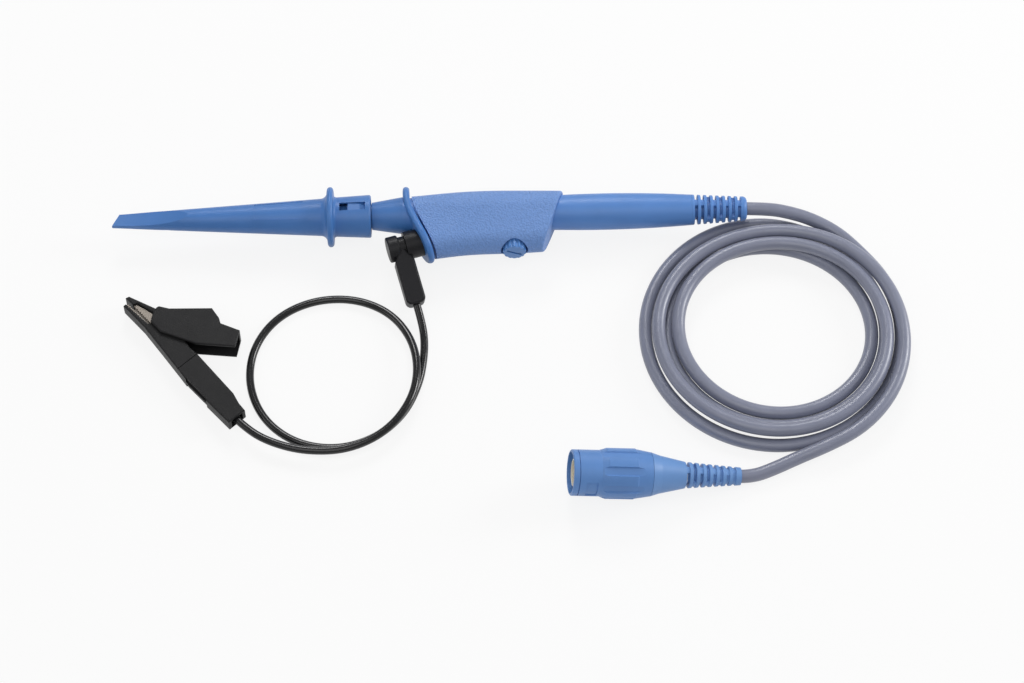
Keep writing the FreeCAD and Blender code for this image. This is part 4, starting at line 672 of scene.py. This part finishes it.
@dataclass
class GroundWire(Cord):
    """Black wire from the ground plug, round one loop, to the clip.

    Attributes:
        points: Control points of the wire.
    """

    points: tuple[Point, ...] = (
        (-0.00498, -0.0288, 0.00442), (-0.00357, -0.03388, 0.00286), (-0.0025, -0.0403, 0.0014),
        (-0.0028, -0.0483, 0.0014), (-0.0045, -0.0583, 0.0014), (-0.0096, -0.0699, 0.0014),
        (-0.0192, -0.079, 0.0014), (-0.0325, -0.0833, 0.0014), (-0.0468, -0.0805, 0.0014),
        (-0.0578, -0.0711, 0.0014), (-0.063, -0.0573, 0.0014), (-0.0616, -0.0429, 0.0014),
        (-0.0538, -0.0309, 0.0014), (-0.0412, -0.0243, 0.0014), (-0.027, -0.0239, 0.0015),
        (-0.0148, -0.0297, 0.002), (-0.0072, -0.0407, 0.0034), (-0.0046, -0.0537, 0.0047),
        (-0.007, -0.0665, 0.00475), (-0.0154, -0.0783, 0.0047), (-0.0286, -0.085, 0.00455),
        (-0.0432, -0.0851, 0.00435), (-0.0554, -0.0811, 0.0041), (-0.06366, -0.0754, 0.004),
        (-0.07026, -0.0679, 0.004),
    )

    def route(self) -> np.ndarray:
        """Control points as they are listed."""
        return np.array(self.points)


# Studio


@dataclass
class Lamp:
    """Square soft box.

    Attributes:
        name: Name of the lamp.
        place: Where it hangs, in metres.
        size: Length of its sides in metres.
        power: Power in watts.
        aim: Point that it faces, in metres.
    """

    name: str
    place: Point
    size: float
    power: float
    aim: Point = (0.03, -0.04, 0.0)

    def build(self) -> None:
        """Hang the lamp and turn it toward its aim."""
        light = bpy.data.lights.new(self.name, "AREA")
        light.shape = "SQUARE"
        light.size = self.size
        light.energy = self.power
        lamp = bpy.data.objects.new(self.name, light)
        lamp.location = self.place
        way = Vector(self.aim) - Vector(self.place)
        lamp.rotation_euler = way.to_track_quat("-Z", "Y").to_euler()
        bpy.context.scene.collection.objects.link(lamp)


@dataclass
class Studio:
    """Pale floor, soft boxes and an even sky.

    Attributes:
        floor_half: Half the side of the floor in metres.
        floor_colour: Colour of the floor as it lights the object.
        floor_roughness: Roughness of the floor.
        floor_specular: Specular level of the floor.
        floor_glow: Share of plain white that camera, glossy and transmission rays see in it.
        sky_strength: Strength of the sky.
        lamps: Soft boxes.
    """

    floor_half: float = 3.0
    floor_colour: Colour = (0.80, 0.80, 0.80)
    floor_roughness: float = 0.9
    floor_specular: float = 0.1
    floor_glow: float = 0.85
    sky_strength: float = 0.40
    lamps: tuple[Lamp, ...] = (
        Lamp("back_box", (0.0, 0.72, 0.70), 0.36, 3.6),
        Lamp("right_box", (0.95, 0.20, 0.42), 0.36, 5.0),
        Lamp("front_box", (-0.1, -0.55, 1.1), 0.9, 3.6),
        Lamp("left_box", (-0.9, -0.1, 0.5), 0.5, 1.0),
    )

    def build(self) -> None:
        """Build floor, sky and lamps."""
        self.floor()
        world = bpy.context.scene.world or bpy.data.worlds.new("studio")
        bpy.context.scene.world = world
        world.use_nodes = True
        sky = world.node_tree.nodes["Background"]
        sky.inputs["Color"].default_value = WHITE
        sky.inputs["Strength"].default_value = self.sky_strength
        for lamp in self.lamps:
            lamp.build()
        bpy.context.scene.view_settings.view_transform = "Standard"
        LOG.info("built the studio")

    def floor_material(self) -> bpy.types.Material:
        """Matt floor that looks nearly white to the camera and keeps a faint shadow.

        Returns:
            The floor's material.
        """
        graph = ShaderGraph("floor")
        graph.constant(Base_Color=(*self.floor_colour, 1.0), Roughness=self.floor_roughness,
                       Specular_IOR_Level=self.floor_specular)
        rays = graph.add("LightPath", {}).outputs
        direct = graph.arithmetic("MAXIMUM", rays["Is Camera Ray"], rays["Is Glossy Ray"])
        seen = graph.arithmetic("MAXIMUM", direct, rays["Is Transmission Ray"])
        share = graph.arithmetic("MULTIPLY", seen, self.floor_glow)
        white = graph.add("Emission", {"Color": WHITE, "Strength": 1.0})
        mix = graph.add("MixShader", {0: share, 1: graph.shader.outputs[0],
                                      2: white.outputs[0]})
        graph.put(graph.tree.nodes["Material Output"].inputs["Surface"], mix.outputs[0])
        return graph.material

    def floor(self) -> None:
        """Lay the floor."""
        half = self.floor_half
        mesh = bpy.data.meshes.new("floor")
        mesh.from_pydata([(-half, -half, 0), (half, -half, 0), (half, half, 0), (-half, half, 0)],
                         [], [(0, 1, 2, 3)])
        mesh.materials.append(self.floor_material())
        floor = bpy.data.objects.new("floor", mesh)
        bpy.context.scene.collection.objects.link(floor)


@dataclass
class PhotoCamera:
    """Camera that stands where the photograph was taken.

    Attributes:
        aim: Point in the middle of the picture, in metres.
        azimuth: Turn about the vertical, in degrees.
        elevation: Angle above the floor, in degrees.
        distance: Distance from the aim in metres.
        lens: Focal length in millimetres.
        sensor: Width of the sensor in millimetres.
        reach: How far the camera sees, in metres.
    """

    aim: Point = (0.0276, -0.0416, 0.0)
    azimuth: float = 1.4
    elevation: float = 60.0
    distance: float = 1.1
    lens: float = 112.1
    sensor: float = 36.0
    reach: float = 20.0

    def build(self) -> None:
        """Set up the camera and make it the scene's own."""
        turn = math.radians(self.azimuth)
        rise = math.radians(self.elevation)
        way = Vector((math.sin(turn) * math.cos(rise), math.cos(turn) * math.cos(rise),
                      -math.sin(rise)))
        data = bpy.data.cameras.new("photo")
        data.lens = self.lens
        data.sensor_width = self.sensor
        data.clip_end = self.reach
        camera = bpy.data.objects.new("photo", data)
        camera.location = Vector(self.aim) - way * self.distance
        camera.rotation_euler = way.to_track_quat("-Z", "Y").to_euler()
        bpy.context.scene.collection.objects.link(camera)
        bpy.context.scene.camera = camera
        LOG.info("set up the camera")


PLUG_NODES = (
    "connector_boot", "bayonet_shell", "bayonet_nut", "contact_sleeve", "contact_dielectric",
    "insulating_collar", "centre_pin", "plug_gasket", "wave_washer", "connector_crimp",
    "cable_plug_end",
)
CLIP_NODES = (
    "clip_lower_cover", "clip_upper_cover", "clip_lower_jaw", "clip_upper_jaw",
    "clip_pivot_pin", "clip_spring", "clip_wire_crimp",
)

CABLE = ProbeCable(
    name="cable", slot="cable_grey", radius=0.0023, body=Body.PROBE,
    nodes=("cable_lead_in", "cable_coil", "cable_tail"), carried=PLUG_NODES,
    length=1.130, far_end="connector", stiffness="medium", lay="coiled")

WIRE = GroundWire(
    name="ground_lead_wire", slot="wire_black", radius=0.001375, body=Body.GROUND_LEAD,
    nodes=("ground_wire",), carried=CLIP_NODES,
    length=0.297, far_end="fitting", stiffness="limp", lay="loose")


def main() -> None:
    """Dress the frame, lay the cords and set up the studio."""
    logging.basicConfig(level=logging.INFO, format="%(message)s")
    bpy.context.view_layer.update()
    shelf = MaterialShelf()
    shelf.dress_nodes()
    CABLE.build(shelf)
    WIRE.build(shelf)
    Studio().build()
    PhotoCamera().build()


if __name__ == "__main__":
    main()
